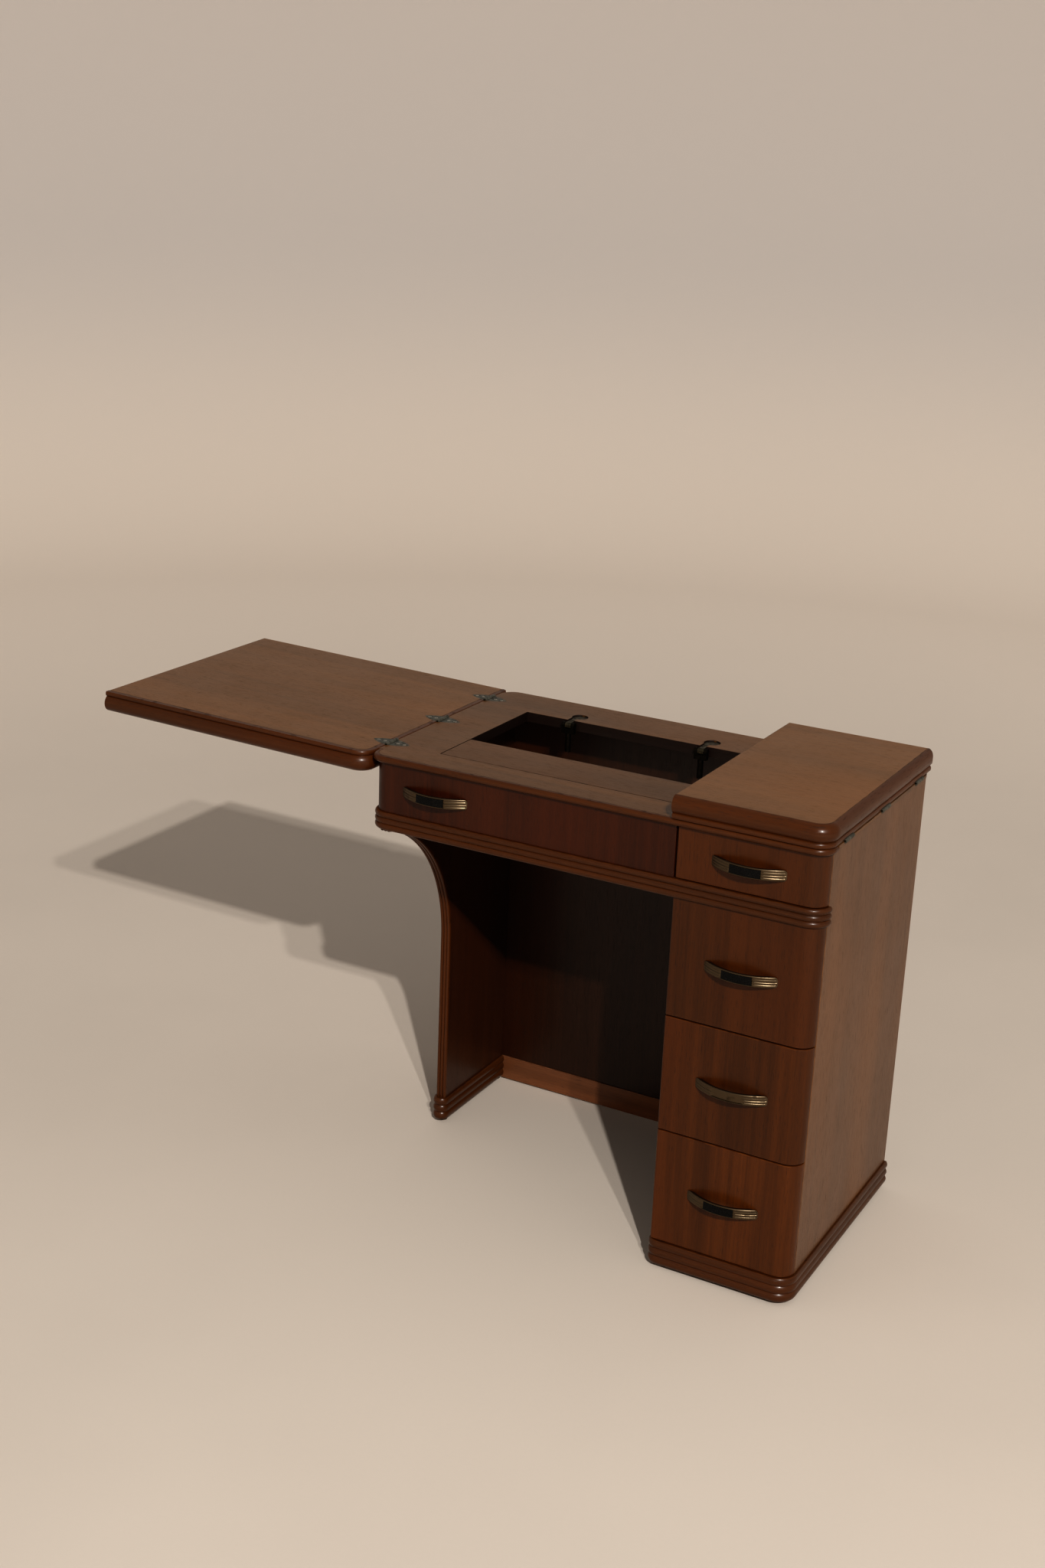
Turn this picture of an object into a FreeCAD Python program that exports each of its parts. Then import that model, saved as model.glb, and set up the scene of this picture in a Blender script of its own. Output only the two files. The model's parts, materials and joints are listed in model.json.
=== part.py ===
"""Sewing table: a one-pedestal cabinet with a folding two-leaf top over a machine opening.

Millimetres. X runs across the front, Y from front to back, Z up.
Pieces are drawn from the cabinet's own corner (left side face, drawer front face, floor) and each one
is placed by ORIGIN, which puts the row's origin under the middle of the whole outline.
"""

import FreeCAD, Part
import math
import os

import Sketcher

DIMENSIONS = {
    # outline
    "overall_height": 775.0,
    "body_width": 753.0,
    "body_depth": 436.0,
    "corner_radius": 26.0,
    # top
    "top_board": 17.0,
    "top_lip": 6.0,
    "side_overhang": 6.5,
    "front_overhang": 8.5,
    "back_overhang": 3.0,
    "top_corner": 28.0,
    "edge_bead_height": 11.0,
    "edge_bead_depth": 8.0,
    "opening_left": 86.4,
    "opening_right": 497.0,
    "opening_back": 342.5,
    "flap_front": 58.2,
    "flap_rear": 152.5,
    "flap_gap": 0.7,
    "flap_pivot_back": 10.0,
    "flap_pivot_down": 2.8,
    # leaves
    "leaf_thickness": 35.0,
    "leaf_gap": 0.4,
    "leaf_tilt": 1.25,
    "left_leaf_length": 519.5,
    "right_leaf_length": 242.8,
    "leaf_lip_height": 7.5,
    "leaf_roll_radius": 14.8,
    # leaf hinges
    "hinge_front": 64.0,
    "hinge_pitch": 156.0,
    "hinge_plate_length": 34.0,
    "hinge_plate_width": 30.0,
    "hinge_plate_thickness": 2.0,
    "knuckle_radius": 3.2,
    "knuckle_length": 33.0,
    "hinge_pin_radius": 1.5,
    "running_clearance": 0.05,
    # machine hinges
    "machine_hinge_first": 173.7,
    "machine_hinge_pitch": 241.0,
    "machine_hinge_cup_y": 367.4,
    "cup_radius": 13.0,
    "machine_knuckle_radius": 5.0,
    "machine_finger_radius": 4.75,
    "machine_finger_length": 32.0,
    # carcase
    "end_panel": 18.0,
    "side_panel": 14.0,
    "divider_panel": 12.0,
    "pedestal_left": 523.0,
    "back_board": 6.0,
    "back_recess": 3.0,
    "front_board": 18.0,
    "band_low": 618.0,
    "band_high": 647.0,
    "base_low": 8.0,
    "base_high": 48.0,
    "bead_out": 5.5,
    "moulding_in": 8.0,
    "back_rail_low": 4.0,
    "leg_front": 227.0,
    "leg_arc_radius": 265.0,
    "leg_arc_start": 352.0,
    # drawers
    "front_gap": 2.0,
    "drawer_side": 10.0,
    "drawer_clearance": 1.5,
    "drawer_back": 410.0,
    "rail_height": 18.0,
    # pulls
    "pull_length": 116.0,
    "pull_height": 17.0,
    "pull_bow": 20.0,
    "pull_foot": 10.0,
    "pull_inlay_length": 48.0,
    "pull_inlay_height": 13.0,
    "false_pull_x": 114.0,
}

SIDE_LEFT = -1
SIDE_RIGHT = 1

doc = FreeCAD.newDocument("sewing_table")
sheet = doc.addObject("Spreadsheet::Sheet", "Dims")
for row, (alias, number) in enumerate(DIMENSIONS.items(), start=1):
    sheet.set(f"A{row}", alias)
    sheet.set(f"B{row}", str(number))
    sheet.setAlias(f"B{row}", alias)
doc.recompute()

sub_parts = []


# ---------------------------------------------------------------- sizes with formulas


class Size:
    """A length that knows both its number and the spreadsheet formula behind it."""

    def __init__(self, number, formula):
        self.number = number
        self.formula = formula

    def __add__(self, other):
        other = as_size(other)
        return Size(self.number + other.number, f"({self.formula} + {other.formula})")

    def __sub__(self, other):
        other = as_size(other)
        return Size(self.number - other.number, f"({self.formula} - {other.formula})")

    def __mul__(self, factor):
        return Size(self.number * factor, f"({self.formula} * {factor:g})")

    def __truediv__(self, divisor):
        return Size(self.number / divisor, f"({self.formula} / {divisor:g})")

    def __neg__(self):
        return Size(-self.number, f"(0 - {self.formula})")

    __rmul__ = __mul__

    def __radd__(self, other):
        return as_size(other) + self

    def __rsub__(self, other):
        return as_size(other) - self


def as_size(value):
    return value if isinstance(value, Size) else Size(float(value), f"{float(value):g}")


def dim(alias):
    return Size(DIMENSIONS[alias], f"Dims.{alias}")


def sine(angle, length):
    return Size(
        math.sin(math.radians(angle.number)) * length.number,
        f"(sin({angle.formula} * 1 deg) * {length.formula})",
    )


def cosine(angle, length):
    return Size(
        math.cos(math.radians(angle.number)) * length.number,
        f"(cos({angle.formula} * 1 deg) * {length.formula})",
    )


def other_leg(hypotenuse, leg):
    """The third side of a right triangle."""
    return Size(
        math.sqrt(hypotenuse.number**2 - leg.number**2),
        f"sqrt(pow({hypotenuse.formula}; 2) - pow({leg.formula}; 2))",
    )


def arc_crown(reach, rise, radius):
    """The furthest u of the arc that bulges outward from (reach, 0) to (0, rise)."""
    chord = math.hypot(reach.number, rise.number)
    centre = reach.number / 2 - rise.number / chord * math.sqrt(radius.number**2 - chord**2 / 4)
    square = f"(pow({reach.formula}; 2) + pow({rise.formula}; 2))"
    drop = f"{rise.formula} / sqrt({square}) * sqrt(pow({radius.formula}; 2) - {square} / 4)"
    return Size(centre + radius.number, f"({reach.formula} / 2 - {drop} + {radius.formula})")


def arc_radius(chord, rise):
    """Radius of the arc that rises by rise over chord."""
    return Size(
        (chord.number**2 / 4 + rise.number**2) / (2 * rise.number),
        f"((pow({chord.formula}; 2) / 4 + pow({rise.formula}; 2)) / (2 * {rise.formula}))",
    )


def bind(item, path, value):
    item.setExpression(path, as_size(value).formula)


# ---------------------------------------------------------------- shared planes and lines

ZERO = as_size(0)
WIDTH = dim("body_width")
DEPTH = dim("body_depth")
CORNER = dim("corner_radius")
HALF_GAP = dim("leaf_gap") / 2

TOP = dim("overall_height") - dim("leaf_thickness") - dim("leaf_gap")
TOP_LIP = TOP - dim("top_lip")
TOP_CORE = TOP - dim("top_board")
TOP_BEAD = TOP - dim("edge_bead_height")
TOP_LEFT = -dim("side_overhang")
TOP_RIGHT = WIDTH + dim("side_overhang")
TOP_FRONT = -dim("front_overhang")
TOP_BACK = DEPTH + dim("back_overhang")

BORDER_FRONT = TOP_FRONT + dim("edge_bead_depth")
BORDER_RADIUS = dim("top_corner") - dim("edge_bead_depth")

AXIS_LEFT = TOP_LEFT - HALF_GAP
AXIS_RIGHT = TOP_RIGHT + HALF_GAP
AXIS_Z = TOP + HALF_GAP
HINGE_PLACES = [dim("hinge_front") + dim("hinge_pitch") * i for i in range(3)]

INNER_LEFT = dim("end_panel")
INNER_RIGHT = WIDTH - dim("side_panel")
PEDESTAL = dim("pedestal_left")
PEDESTAL_IN = PEDESTAL + dim("divider_panel")
BACK_REAR = DEPTH - dim("back_recess")
BACK_FACE = BACK_REAR - dim("back_board")
FRONT_BACK = dim("front_board")
BAND_LOW = dim("band_low")
BAND_HIGH = dim("band_high")
BASE_LOW = dim("base_low")
BASE_HIGH = dim("base_high")

# how far a cutting tool runs past the faces it opens
OVERCUT = 1

# the roll moulding of a leaf: heights above the hinge plane, and how far it stands out of the veneer
LIP_OUT = as_size(7.2)
LIP_ARC = as_size(5.5)
QUIRK_OUT = as_size(5.6)
QUIRK_RISE = as_size(0.8)
ROLL_OUT = as_size(6.6)
ROLL_RISE = as_size(1.7)
ROLL_LOW = dim("leaf_lip_height") + ROLL_RISE
ROLL_CROWN = arc_crown(ROLL_OUT, dim("leaf_thickness") - ROLL_LOW, dim("leaf_roll_radius"))
ROLL_END_RADIUS = as_size(13.0)

LEAF_BORDER = as_size(-8.9)
LEAF_BACK = TOP_BACK
LEAF_REACH_LEFT = (
    cosine(dim("leaf_tilt"), dim("left_leaf_length") + HALF_GAP)
    + sine(dim("leaf_tilt"), dim("leaf_thickness") + HALF_GAP)
    - AXIS_LEFT
)
LEAF_REACH_RIGHT = AXIS_RIGHT + LEAF_BORDER + ROLL_CROWN
ORIGIN = (
    (LEAF_REACH_LEFT - LEAF_REACH_RIGHT) / 2,
    -(BORDER_FRONT - ROLL_CROWN + LEAF_BACK) / 2,
    ZERO,
)


# ---------------------------------------------------------------- building blocks


def set_base(item, base):
    for axis, value in zip("xyz", base):
        bind(item, f"Placement.Base.{axis}", value)


def keep(label, item):
    """Makes item a finished sub-part: its label names its file, and ORIGIN places it."""
    item.Label = label
    set_base(item, ORIGIN)
    sub_parts.append(item)
    return item


def block(name, x, y, z):
    """A box between two planes along each axis."""
    item = doc.addObject("Part::Box", name)
    for side, (low, high) in zip(("Length", "Width", "Height"), (x, y, z)):
        bind(item, side, as_size(high) - low)
    set_base(item, [as_size(low) for low, _ in (x, y, z)])
    return item


def board(label, x, y, z):
    """A finished sub-part that is one square-edged board."""
    item = block(label, x, y, z)
    item.Label = label
    set_base(item, [as_size(low) + shift for (low, _), shift in zip((x, y, z), ORIGIN)])
    sub_parts.append(item)
    return item


TURNS = {
    "x": FreeCAD.Rotation(FreeCAD.Vector(0, 1, 0), 90),
    "y": FreeCAD.Rotation(FreeCAD.Vector(1, 0, 0), -90),
    "z": FreeCAD.Rotation(),
}


def rod(name, axis, start, radius, length):
    """A cylinder that runs from start along +x, +y or +z."""
    item = doc.addObject("Part::Cylinder", name)
    item.Placement = FreeCAD.Placement(FreeCAD.Vector(), TURNS[axis])
    bind(item, "Radius", radius)
    bind(item, "Height", length)
    set_base(item, start)
    return item


def cone(name, start, low_radius, high_radius, height):
    item = doc.addObject("Part::Cone", name)
    bind(item, "Radius1", low_radius)
    bind(item, "Radius2", high_radius)
    bind(item, "Height", height)
    set_base(item, start)
    return item


def fuse(name, shapes):
    item = doc.addObject("Part::MultiFuse", name)
    item.Shapes = shapes
    item.Refine = True
    return item


def cut(name, base, tools):
    item = doc.addObject("Part::Cut", name)
    item.Base = base
    item.Tool = tools[0] if len(tools) == 1 else fuse(f"{name}_tools", tools)
    return item


def together(name, shapes):
    """Separate solids that share one node."""
    item = doc.addObject("Part::Compound", name)
    item.Links = shapes
    return item


# ---------------------------------------------------------------- sketches


def arc_through(start, end, radius, turn):
    """The minor arc of that radius from start to end, anticlockwise when turn is 1."""
    chord = end - start
    left = FreeCAD.Vector(-chord.y, chord.x, 0).normalize()
    rise = math.sqrt(max(0.0, radius**2 - chord.Length**2 / 4))
    centre = (start + end) * 0.5 + left * (rise * turn)
    first, last = (start, end) if turn > 0 else (end, start)
    angles = [math.atan2(p.y - centre.y, p.x - centre.x) for p in (first, last)]
    circle = Part.Circle(centre, FreeCAD.Vector(0, 0, 1), radius)
    return Part.ArcOfCircle(circle, angles[0], angles[1])


def flat_point(corner):
    return FreeCAD.Vector(as_size(corner[0]).number, as_size(corner[1]).number, 0)


def pin_corner(sketch, edge, end, corner):
    """Holds one end of an edge at its corner's spreadsheet place."""
    for kind, value in zip(("DistanceX", "DistanceY"), corner[:2]):
        value = as_size(value)
        index = sketch.addConstraint(
            Sketcher.Constraint(kind, -1, 1, edge, end, value.number)
        )
        bind(sketch, f"Constraints[{index}]", value)


def draw(sketch, corners, closed=True):
    """Draws lines and arcs through corners.

    A corner is (u, v), or (u, v, radius, turn) where an arc leads to it.
    """
    previous = None
    first = None
    for index in range(0 if closed else 1, len(corners)):
        start, end = corners[index - 1], corners[index]
        if len(end) == 2:
            edge = sketch.addGeometry(Part.LineSegment(flat_point(start), flat_point(end)))
            start_mark, end_mark = 1, 2
        else:
            radius, turn = as_size(end[2]), end[3]
            arc = arc_through(flat_point(start), flat_point(end), radius.number, turn)
            edge = sketch.addGeometry(arc)
            start_mark, end_mark = (1, 2) if turn > 0 else (2, 1)
            number = sketch.addConstraint(Sketcher.Constraint("Radius", edge, radius.number))
            bind(sketch, f"Constraints[{number}]", radius)
        if previous:
            sketch.addConstraint(Sketcher.Constraint("Coincident", *previous, edge, start_mark))
        else:
            first = (edge, start_mark)
            if not closed:
                pin_corner(sketch, edge, start_mark, start)
        pin_corner(sketch, edge, end_mark, end)
        previous = (edge, end_mark)
    if closed:
        sketch.addConstraint(Sketcher.Constraint("Coincident", *previous, *first))


PLANE_TURNS = {
    "XY_Plane": FreeCAD.Rotation(),
    "XZ_Plane": FreeCAD.Rotation(FreeCAD.Vector(1, 0, 0), 90),
    "YZ_Plane": FreeCAD.Rotation(FreeCAD.Vector(1, 1, 1), 120),
}
PLANE_NORMALS = {"XY_Plane": ("z", 1), "XZ_Plane": ("y", -1), "YZ_Plane": ("x", 1)}


def prism(name, plane, corners, low, high):
    """A straight-sided solid: an outline on a main plane, from low to high along its normal."""
    axis, sign = PLANE_NORMALS[plane]
    sketch = doc.addObject("Sketcher::SketchObject", f"{name}_outline")
    sketch.Placement = FreeCAD.Placement(FreeCAD.Vector(), PLANE_TURNS[plane])
    bind(sketch, f"Placement.Base.{axis}", low if sign > 0 else high)
    draw(sketch, corners)
    item = doc.addObject("Part::Extrusion", name)
    item.Base = sketch
    item.DirMode = "Normal"
    item.Solid = True
    bind(item, "LengthFwd", as_size(high) - low)
    return item


def body_sketch(body, name, role, offset=ZERO):
    """A sketch on one of the body's own origin planes, moved along the plane's normal."""
    plane = next(f for f in body.Origin.OriginFeatures if f.Role == role)
    sketch = body.newObject("Sketcher::SketchObject", name)
    sketch.AttachmentSupport = [(plane, "")]
    sketch.MapMode = "FlatFace"
    bind(sketch, "AttachmentOffset.Base.z", offset)
    return sketch


def swept_body(label, path, path_plane, section, section_plane, section_offset, path_offset=ZERO):
    """A PartDesign body whose one feature is a section swept along a path."""
    body = doc.addObject("PartDesign::Body", label)
    spine = body_sketch(body, f"{label}_path", path_plane, path_offset)
    draw(spine, path, closed=False)
    profile = body_sketch(body, f"{label}_section", section_plane, section_offset)
    draw(profile, section)
    pipe = body.newObject("PartDesign::AdditivePipe", f"{label}_sweep")
    pipe.Profile = profile
    pipe.Spine = spine
    pipe.Mode = "Standard"
    body.Tip = pipe
    return body


def reeds(first, last, level, count, proud, turn):
    """Corners of a row of half-round beads along u, from first to last at height level.

    turn is the way each bead's arc goes; proud is how far a bead's crown stands out.
    """
    step = (as_size(last) - first) / count
    radius = arc_radius(step, as_size(proud))
    return [(first + step * (i + 1), level, radius, turn) for i in range(count)]


def swap(corners):
    """Exchanges u and v, which also turns every arc the other way."""
    return [(c[1], c[0]) if len(c) == 2 else (c[1], c[0], c[2], -c[3]) for c in corners]


# ---------------------------------------------------------------- main top


def hinge_outline(x, y, toward):
    """Half a pointed oval that grows from (x, y): toward is -1 for a plate on the -x side."""
    length = dim("hinge_plate_length")
    half = dim("hinge_plate_width") / 2
    radius = arc_radius(length * 2, half)
    return [
        (x, y - half * toward),
        (x + length * toward, y, radius, 1),
        (x, y + half * toward, radius, 1),
    ]


def hinge_plate_blanks(name, x, toward, low):
    """The flat half-oval plates of three hinges, as prisms that also serve to cut their recesses."""
    high = low + dim("hinge_plate_thickness")
    return [
        prism(f"{name}_{i}", "XY_Plane", hinge_outline(x, y, toward), low, high)
        for i, y in enumerate(HINGE_PLACES)
    ]


def knuckle_rods(name, x, z, radius, start, length):
    """One cylinder per hinge about the hinge axis; start is measured from the hinge's centre."""
    return [
        rod(f"{name}_{i}", "y", (x, y + start, z), radius, length)
        for i, y in enumerate(HINGE_PLACES)
    ]


KNUCKLE_THIRD = dim("knuckle_length") / 3
KNUCKLE_SLACK = as_size(0.3)
NOTCH_SLACK = 0.5
NOTCH = dim("knuckle_radius") + NOTCH_SLACK


def knuckle_notches(name, x, z):
    half = dim("knuckle_length") / 2 + NOTCH_SLACK
    return knuckle_rods(name, x, z, NOTCH, -half, half * 2)


SCREW_PLACES = (12.0, 24.0)
SCREW_SHANK = as_size(1.4)
SCREW_HEAD = as_size(2.9)
SCREW_SINK = as_size(1.5)
SCREW_LENGTH = as_size(5.8)


def screw_set(name, x, z, toward, up):
    """Countersunk screws of three plates, heads flush with the plate: up is 1 for heads on top."""
    made = []
    shank_length = SCREW_LENGTH - SCREW_SINK
    for i, y in enumerate(HINGE_PLACES):
        for j, distance in enumerate(SCREW_PLACES):
            place = x + as_size(distance) * toward
            tag = f"{name}_{i}_{j}"
            if up > 0:
                head_low, shank_low = z - SCREW_SINK, z - SCREW_LENGTH
                radii = (SCREW_SHANK, SCREW_HEAD)
            else:
                head_low, shank_low = z, z + SCREW_SINK
                radii = (SCREW_HEAD, SCREW_SHANK)
            head = cone(f"{tag}_head", (place, y, head_low), *radii, SCREW_SINK)
            shank = rod(f"{tag}_shank", "z", (place, y, shank_low), SCREW_SHANK, shank_length)
            made.append(fuse(tag, [head, shank]))
    return made


def fixed_hinges(side, name, axis_x):
    """Plates let into the main top, each with the two outer knuckles, and the pins they hold."""
    toward = -side
    edge = axis_x + HALF_GAP * toward
    blanks = hinge_plate_blanks(f"{name}_blank", edge, toward, TOP - dim("hinge_plate_thickness"))
    screws = screw_set(f"{name}_screw", axis_x, TOP, toward, 1)

    def rods(part, radius, start, length):
        return knuckle_rods(f"{name}_{part}", axis_x, AXIS_Z, radius, start, length)

    first, inner = KNUCKLE_THIRD * -1.5, KNUCKLE_THIRD / 2 + KNUCKLE_SLACK
    outer_length = KNUCKLE_THIRD - KNUCKLE_SLACK
    pins = rods("pin", dim("hinge_pin_radius"), first, dim("knuckle_length"))
    moving_space = rods("space", NOTCH, -inner, inner * 2)
    front_knuckles = rods("front", dim("knuckle_radius"), first, outer_length)
    back_knuckles = rods("back", dim("knuckle_radius"), inner, outer_length)
    half_width = dim("hinge_plate_width") / 2
    plates = []
    for i, y in enumerate(HINGE_PLACES):
        tab = block(
            f"{name}_tab_{i}",
            (edge, axis_x) if toward < 0 else (axis_x, edge),
            (y - half_width, y + half_width),
            (TOP - dim("hinge_plate_thickness"), TOP),
        )
        solid = fuse(f"{name}_solid_{i}", [blanks[i], tab, front_knuckles[i], back_knuckles[i]])
        tools = [moving_space[i], pins[i]] + screws[2 * i : 2 * i + 2]
        plates.append(cut(f"{name}_plate_{i}", solid, tools))
    keep(name, together(f"{name}_group", plates))
    return blanks, screws, pins


def main_top(hinge_blanks, screws):
    """Veneered board with a thin overhanging lip, cut for the machine, the flap and every hinge."""
    left_in = TOP_LEFT + dim("edge_bead_depth")
    right_in = TOP_RIGHT - dim("edge_bead_depth")
    border = [
        (left_in, CORNER),
        (left_in, BORDER_FRONT + BORDER_RADIUS),
        (left_in + BORDER_RADIUS, BORDER_FRONT, BORDER_RADIUS, 1),
        (right_in - BORDER_RADIUS, BORDER_FRONT),
        (right_in, BORDER_FRONT + BORDER_RADIUS, BORDER_RADIUS, 1),
        (right_in, CORNER),
    ]
    corner = dim("top_corner")
    sheet_outline = border + [
        (TOP_RIGHT, CORNER),
        (TOP_RIGHT, TOP_BACK - corner),
        (TOP_RIGHT - corner, TOP_BACK, corner, 1),
        (TOP_LEFT + corner, TOP_BACK),
        (TOP_LEFT, TOP_BACK - corner, corner, 1),
        (TOP_LEFT, CORNER),
    ]
    lip = prism("top_sheet", "XY_Plane", sheet_outline, TOP_LIP, TOP)
    front = prism("top_front", "XY_Plane", border, TOP_BEAD, TOP_LIP)
    core = block("top_core", (INNER_LEFT, INNER_RIGHT), (CORNER, BACK_FACE), (TOP_CORE, TOP_LIP))
    opening = block(
        "machine_opening",
        (dim("opening_left"), dim("opening_right")),
        (dim("flap_front"), dim("opening_back")),
        (TOP_CORE - OVERCUT, TOP + OVERCUT),
    )
    pivot_y, pivot_z = flap_pivot()
    pivot_hole = rod(
        "flap_pivot_hole",
        "x",
        (dim("opening_left") - FLAP_PIN_REACH, pivot_y, pivot_z),
        FLAP_PIN + dim("running_clearance"),
        dim("opening_right") - dim("opening_left") + FLAP_PIN_REACH * 2,
    )
    tools = [opening, pivot_hole]
    cup_y, cup_floor = dim("machine_hinge_cup_y"), TOP - CUP_SINK
    for i, x in enumerate(machine_hinge_places()):
        recess_radius = dim("cup_radius") + CUP_SLACK
        cup = rod(f"cup_recess_{i}", "z", (x, cup_y, cup_floor), recess_radius, CUP_SINK + OVERCUT)
        strap = block(
            f"strap_recess_{i}",
            (x - STRAP_WIDTH - CUP_SLACK, x + CUP_SLACK),
            (dim("opening_back") - OVERCUT, cup_y),
            (cup_floor, TOP + OVERCUT),
        )
        tools += [cup, strap]
    tools += knuckle_notches("left_notch", AXIS_LEFT, AXIS_Z)
    tools += knuckle_notches("right_notch", AXIS_RIGHT, AXIS_Z)
    tools += hinge_blanks + screws
    keep("main_top", cut("main_top_cut", fuse("main_top_solid", [lip, front, core]), tools))


def top_edge_bead():
    """Half-round nosing along the front of the top, round both front corners."""
    left = TOP_LEFT + dim("edge_bead_depth")
    right = TOP_RIGHT - dim("edge_bead_depth")
    path = [
        (left, CORNER),
        (left, BORDER_FRONT + BORDER_RADIUS),
        (left + BORDER_RADIUS, BORDER_FRONT, BORDER_RADIUS, 1),
        (right - BORDER_RADIUS, BORDER_FRONT),
        (right, BORDER_FRONT + BORDER_RADIUS, BORDER_RADIUS, 1),
        (right, CORNER),
    ]
    nose = dim("edge_bead_height") / 2
    outer = left - dim("edge_bead_depth") + nose
    section = [
        (left, TOP_BEAD),
        (left, TOP),
        (outer, TOP),
        (outer - nose, TOP - nose, nose, 1),
        (outer, TOP_BEAD, nose, 1),
    ]
    keep("top_edge_bead", swept_body("top_edge_bead", path, "XY_Plane", section, "XZ_Plane", -CORNER))


# ---------------------------------------------------------------- front flap

FLAP_PIN = as_size(1.5)
FLAP_PIN_REACH = as_size(7.0)
FLAP_PIN_DEPTH = as_size(12.0)
LEDGE_HEIGHT = 8
LEDGE_DROP = 0.5
LEDGE_OUT = as_size(16.0)
LEDGE_IN = as_size(10.0)
LEDGE_FROM, LEDGE_TO = 30, 8


def flap_pivot():
    y = dim("flap_front") + dim("flap_gap") + dim("flap_pivot_back")
    return y, TOP - dim("flap_pivot_down")


def front_flap():
    """Loose strip of the top in front of the opening, on a steel pin at each end."""
    gap = dim("flap_gap")
    pivot_y, pivot_z = flap_pivot()
    left, right = dim("opening_left") + gap, dim("opening_right") - gap
    depth = (dim("flap_front") + gap, dim("flap_rear"))
    strip = block("flap_strip", (left, right), depth, (TOP_CORE, TOP))
    out = FLAP_PIN_REACH - gap
    pins = [
        rod(f"flap_pin_{i}", "x", (start, pivot_y, pivot_z), FLAP_PIN, out + FLAP_PIN_DEPTH)
        for i, start in enumerate((left - out, right - FLAP_PIN_DEPTH))
    ]
    keep("front_flap", cut("front_flap_cut", strip, pins))
    keep("flap_pivot_pins", together("flap_pivot_pin_pair", pins))


def flap_ledges():
    """Cleats under the top that the flap's ends rest on when it is shut."""
    ledges = []
    for i, (edge, inward) in enumerate(((dim("opening_left"), 1), (dim("opening_right"), -1))):
        outer, inner = edge - LEDGE_OUT * inward, edge + LEDGE_IN * inward
        spans = ((outer, edge), (outer, inner)) if inward > 0 else ((edge, outer), (inner, outer))
        depth = (dim("flap_rear") - LEDGE_FROM, dim("flap_rear") - LEDGE_TO)
        low = TOP_CORE - LEDGE_HEIGHT
        foot = block(f"ledge_foot_{i}", spans[0], depth, (low, TOP_CORE))
        shelf = block(f"ledge_shelf_{i}", spans[1], depth, (low, TOP_CORE - LEDGE_DROP))
        ledges.append(fuse(f"ledge_{i}", [foot, shelf]))
    keep("flap_ledges", together("flap_ledge_pair", ledges))


# ---------------------------------------------------------------- machine hinges

CUP_SINK = as_size(5.0)
CUP_PLATE = as_size(3.0)
CUP_SLACK = 0.3
STRAP_WIDTH = as_size(10.0)
MACHINE_PIN = as_size(2.0)
YOKE_CHEEK = as_size(6.0)
YOKE_SLACK = as_size(0.3)
YOKE_TOP = as_size(5.8)
YOKE_LOW = as_size(14.0)
YOKE_HALF = 4
KNUCKLE_STANDOFF = 1.2
MACHINE_KNUCKLE_Y = dim("opening_back") - dim("machine_knuckle_radius") - KNUCKLE_STANDOFF
MACHINE_KNUCKLE_Z = TOP - CUP_SINK + CUP_PLATE - dim("machine_knuckle_radius")


def machine_hinge_places():
    first = dim("machine_hinge_first")
    return first, first + dim("machine_hinge_pitch")


def machine_hinge_brackets():
    """Round plates let into the top behind the opening, each with a strap and a knuckle."""
    low = TOP - CUP_SINK
    brackets, axles = [], []
    for i, x in enumerate(machine_hinge_places()):
        cup = rod(f"cup_{i}", "z", (x, dim("machine_hinge_cup_y"), low), dim("cup_radius"), CUP_PLATE)
        strap_depth = (MACHINE_KNUCKLE_Y, dim("machine_hinge_cup_y"))
        strap = block(f"strap_{i}", (x - STRAP_WIDTH, x), strap_depth, (low, low + CUP_PLATE))
        knuckle = rod(
            f"bracket_knuckle_{i}",
            "x",
            (x - STRAP_WIDTH, MACHINE_KNUCKLE_Y, MACHINE_KNUCKLE_Z),
            dim("machine_knuckle_radius"),
            STRAP_WIDTH,
        )
        axle = rod(
            f"machine_axle_{i}",
            "x",
            (x - STRAP_WIDTH - YOKE_SLACK - YOKE_CHEEK, MACHINE_KNUCKLE_Y, MACHINE_KNUCKLE_Z),
            MACHINE_PIN,
            STRAP_WIDTH + YOKE_SLACK * 2 + YOKE_CHEEK * 2,
        )
        axles.append(axle)
        brackets.append(cut(f"bracket_{i}", fuse(f"bracket_solid_{i}", [cup, strap, knuckle]), [axle]))
    keep("machine_hinge_brackets", together("machine_hinge_bracket_pair", brackets))
    return axles


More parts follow.
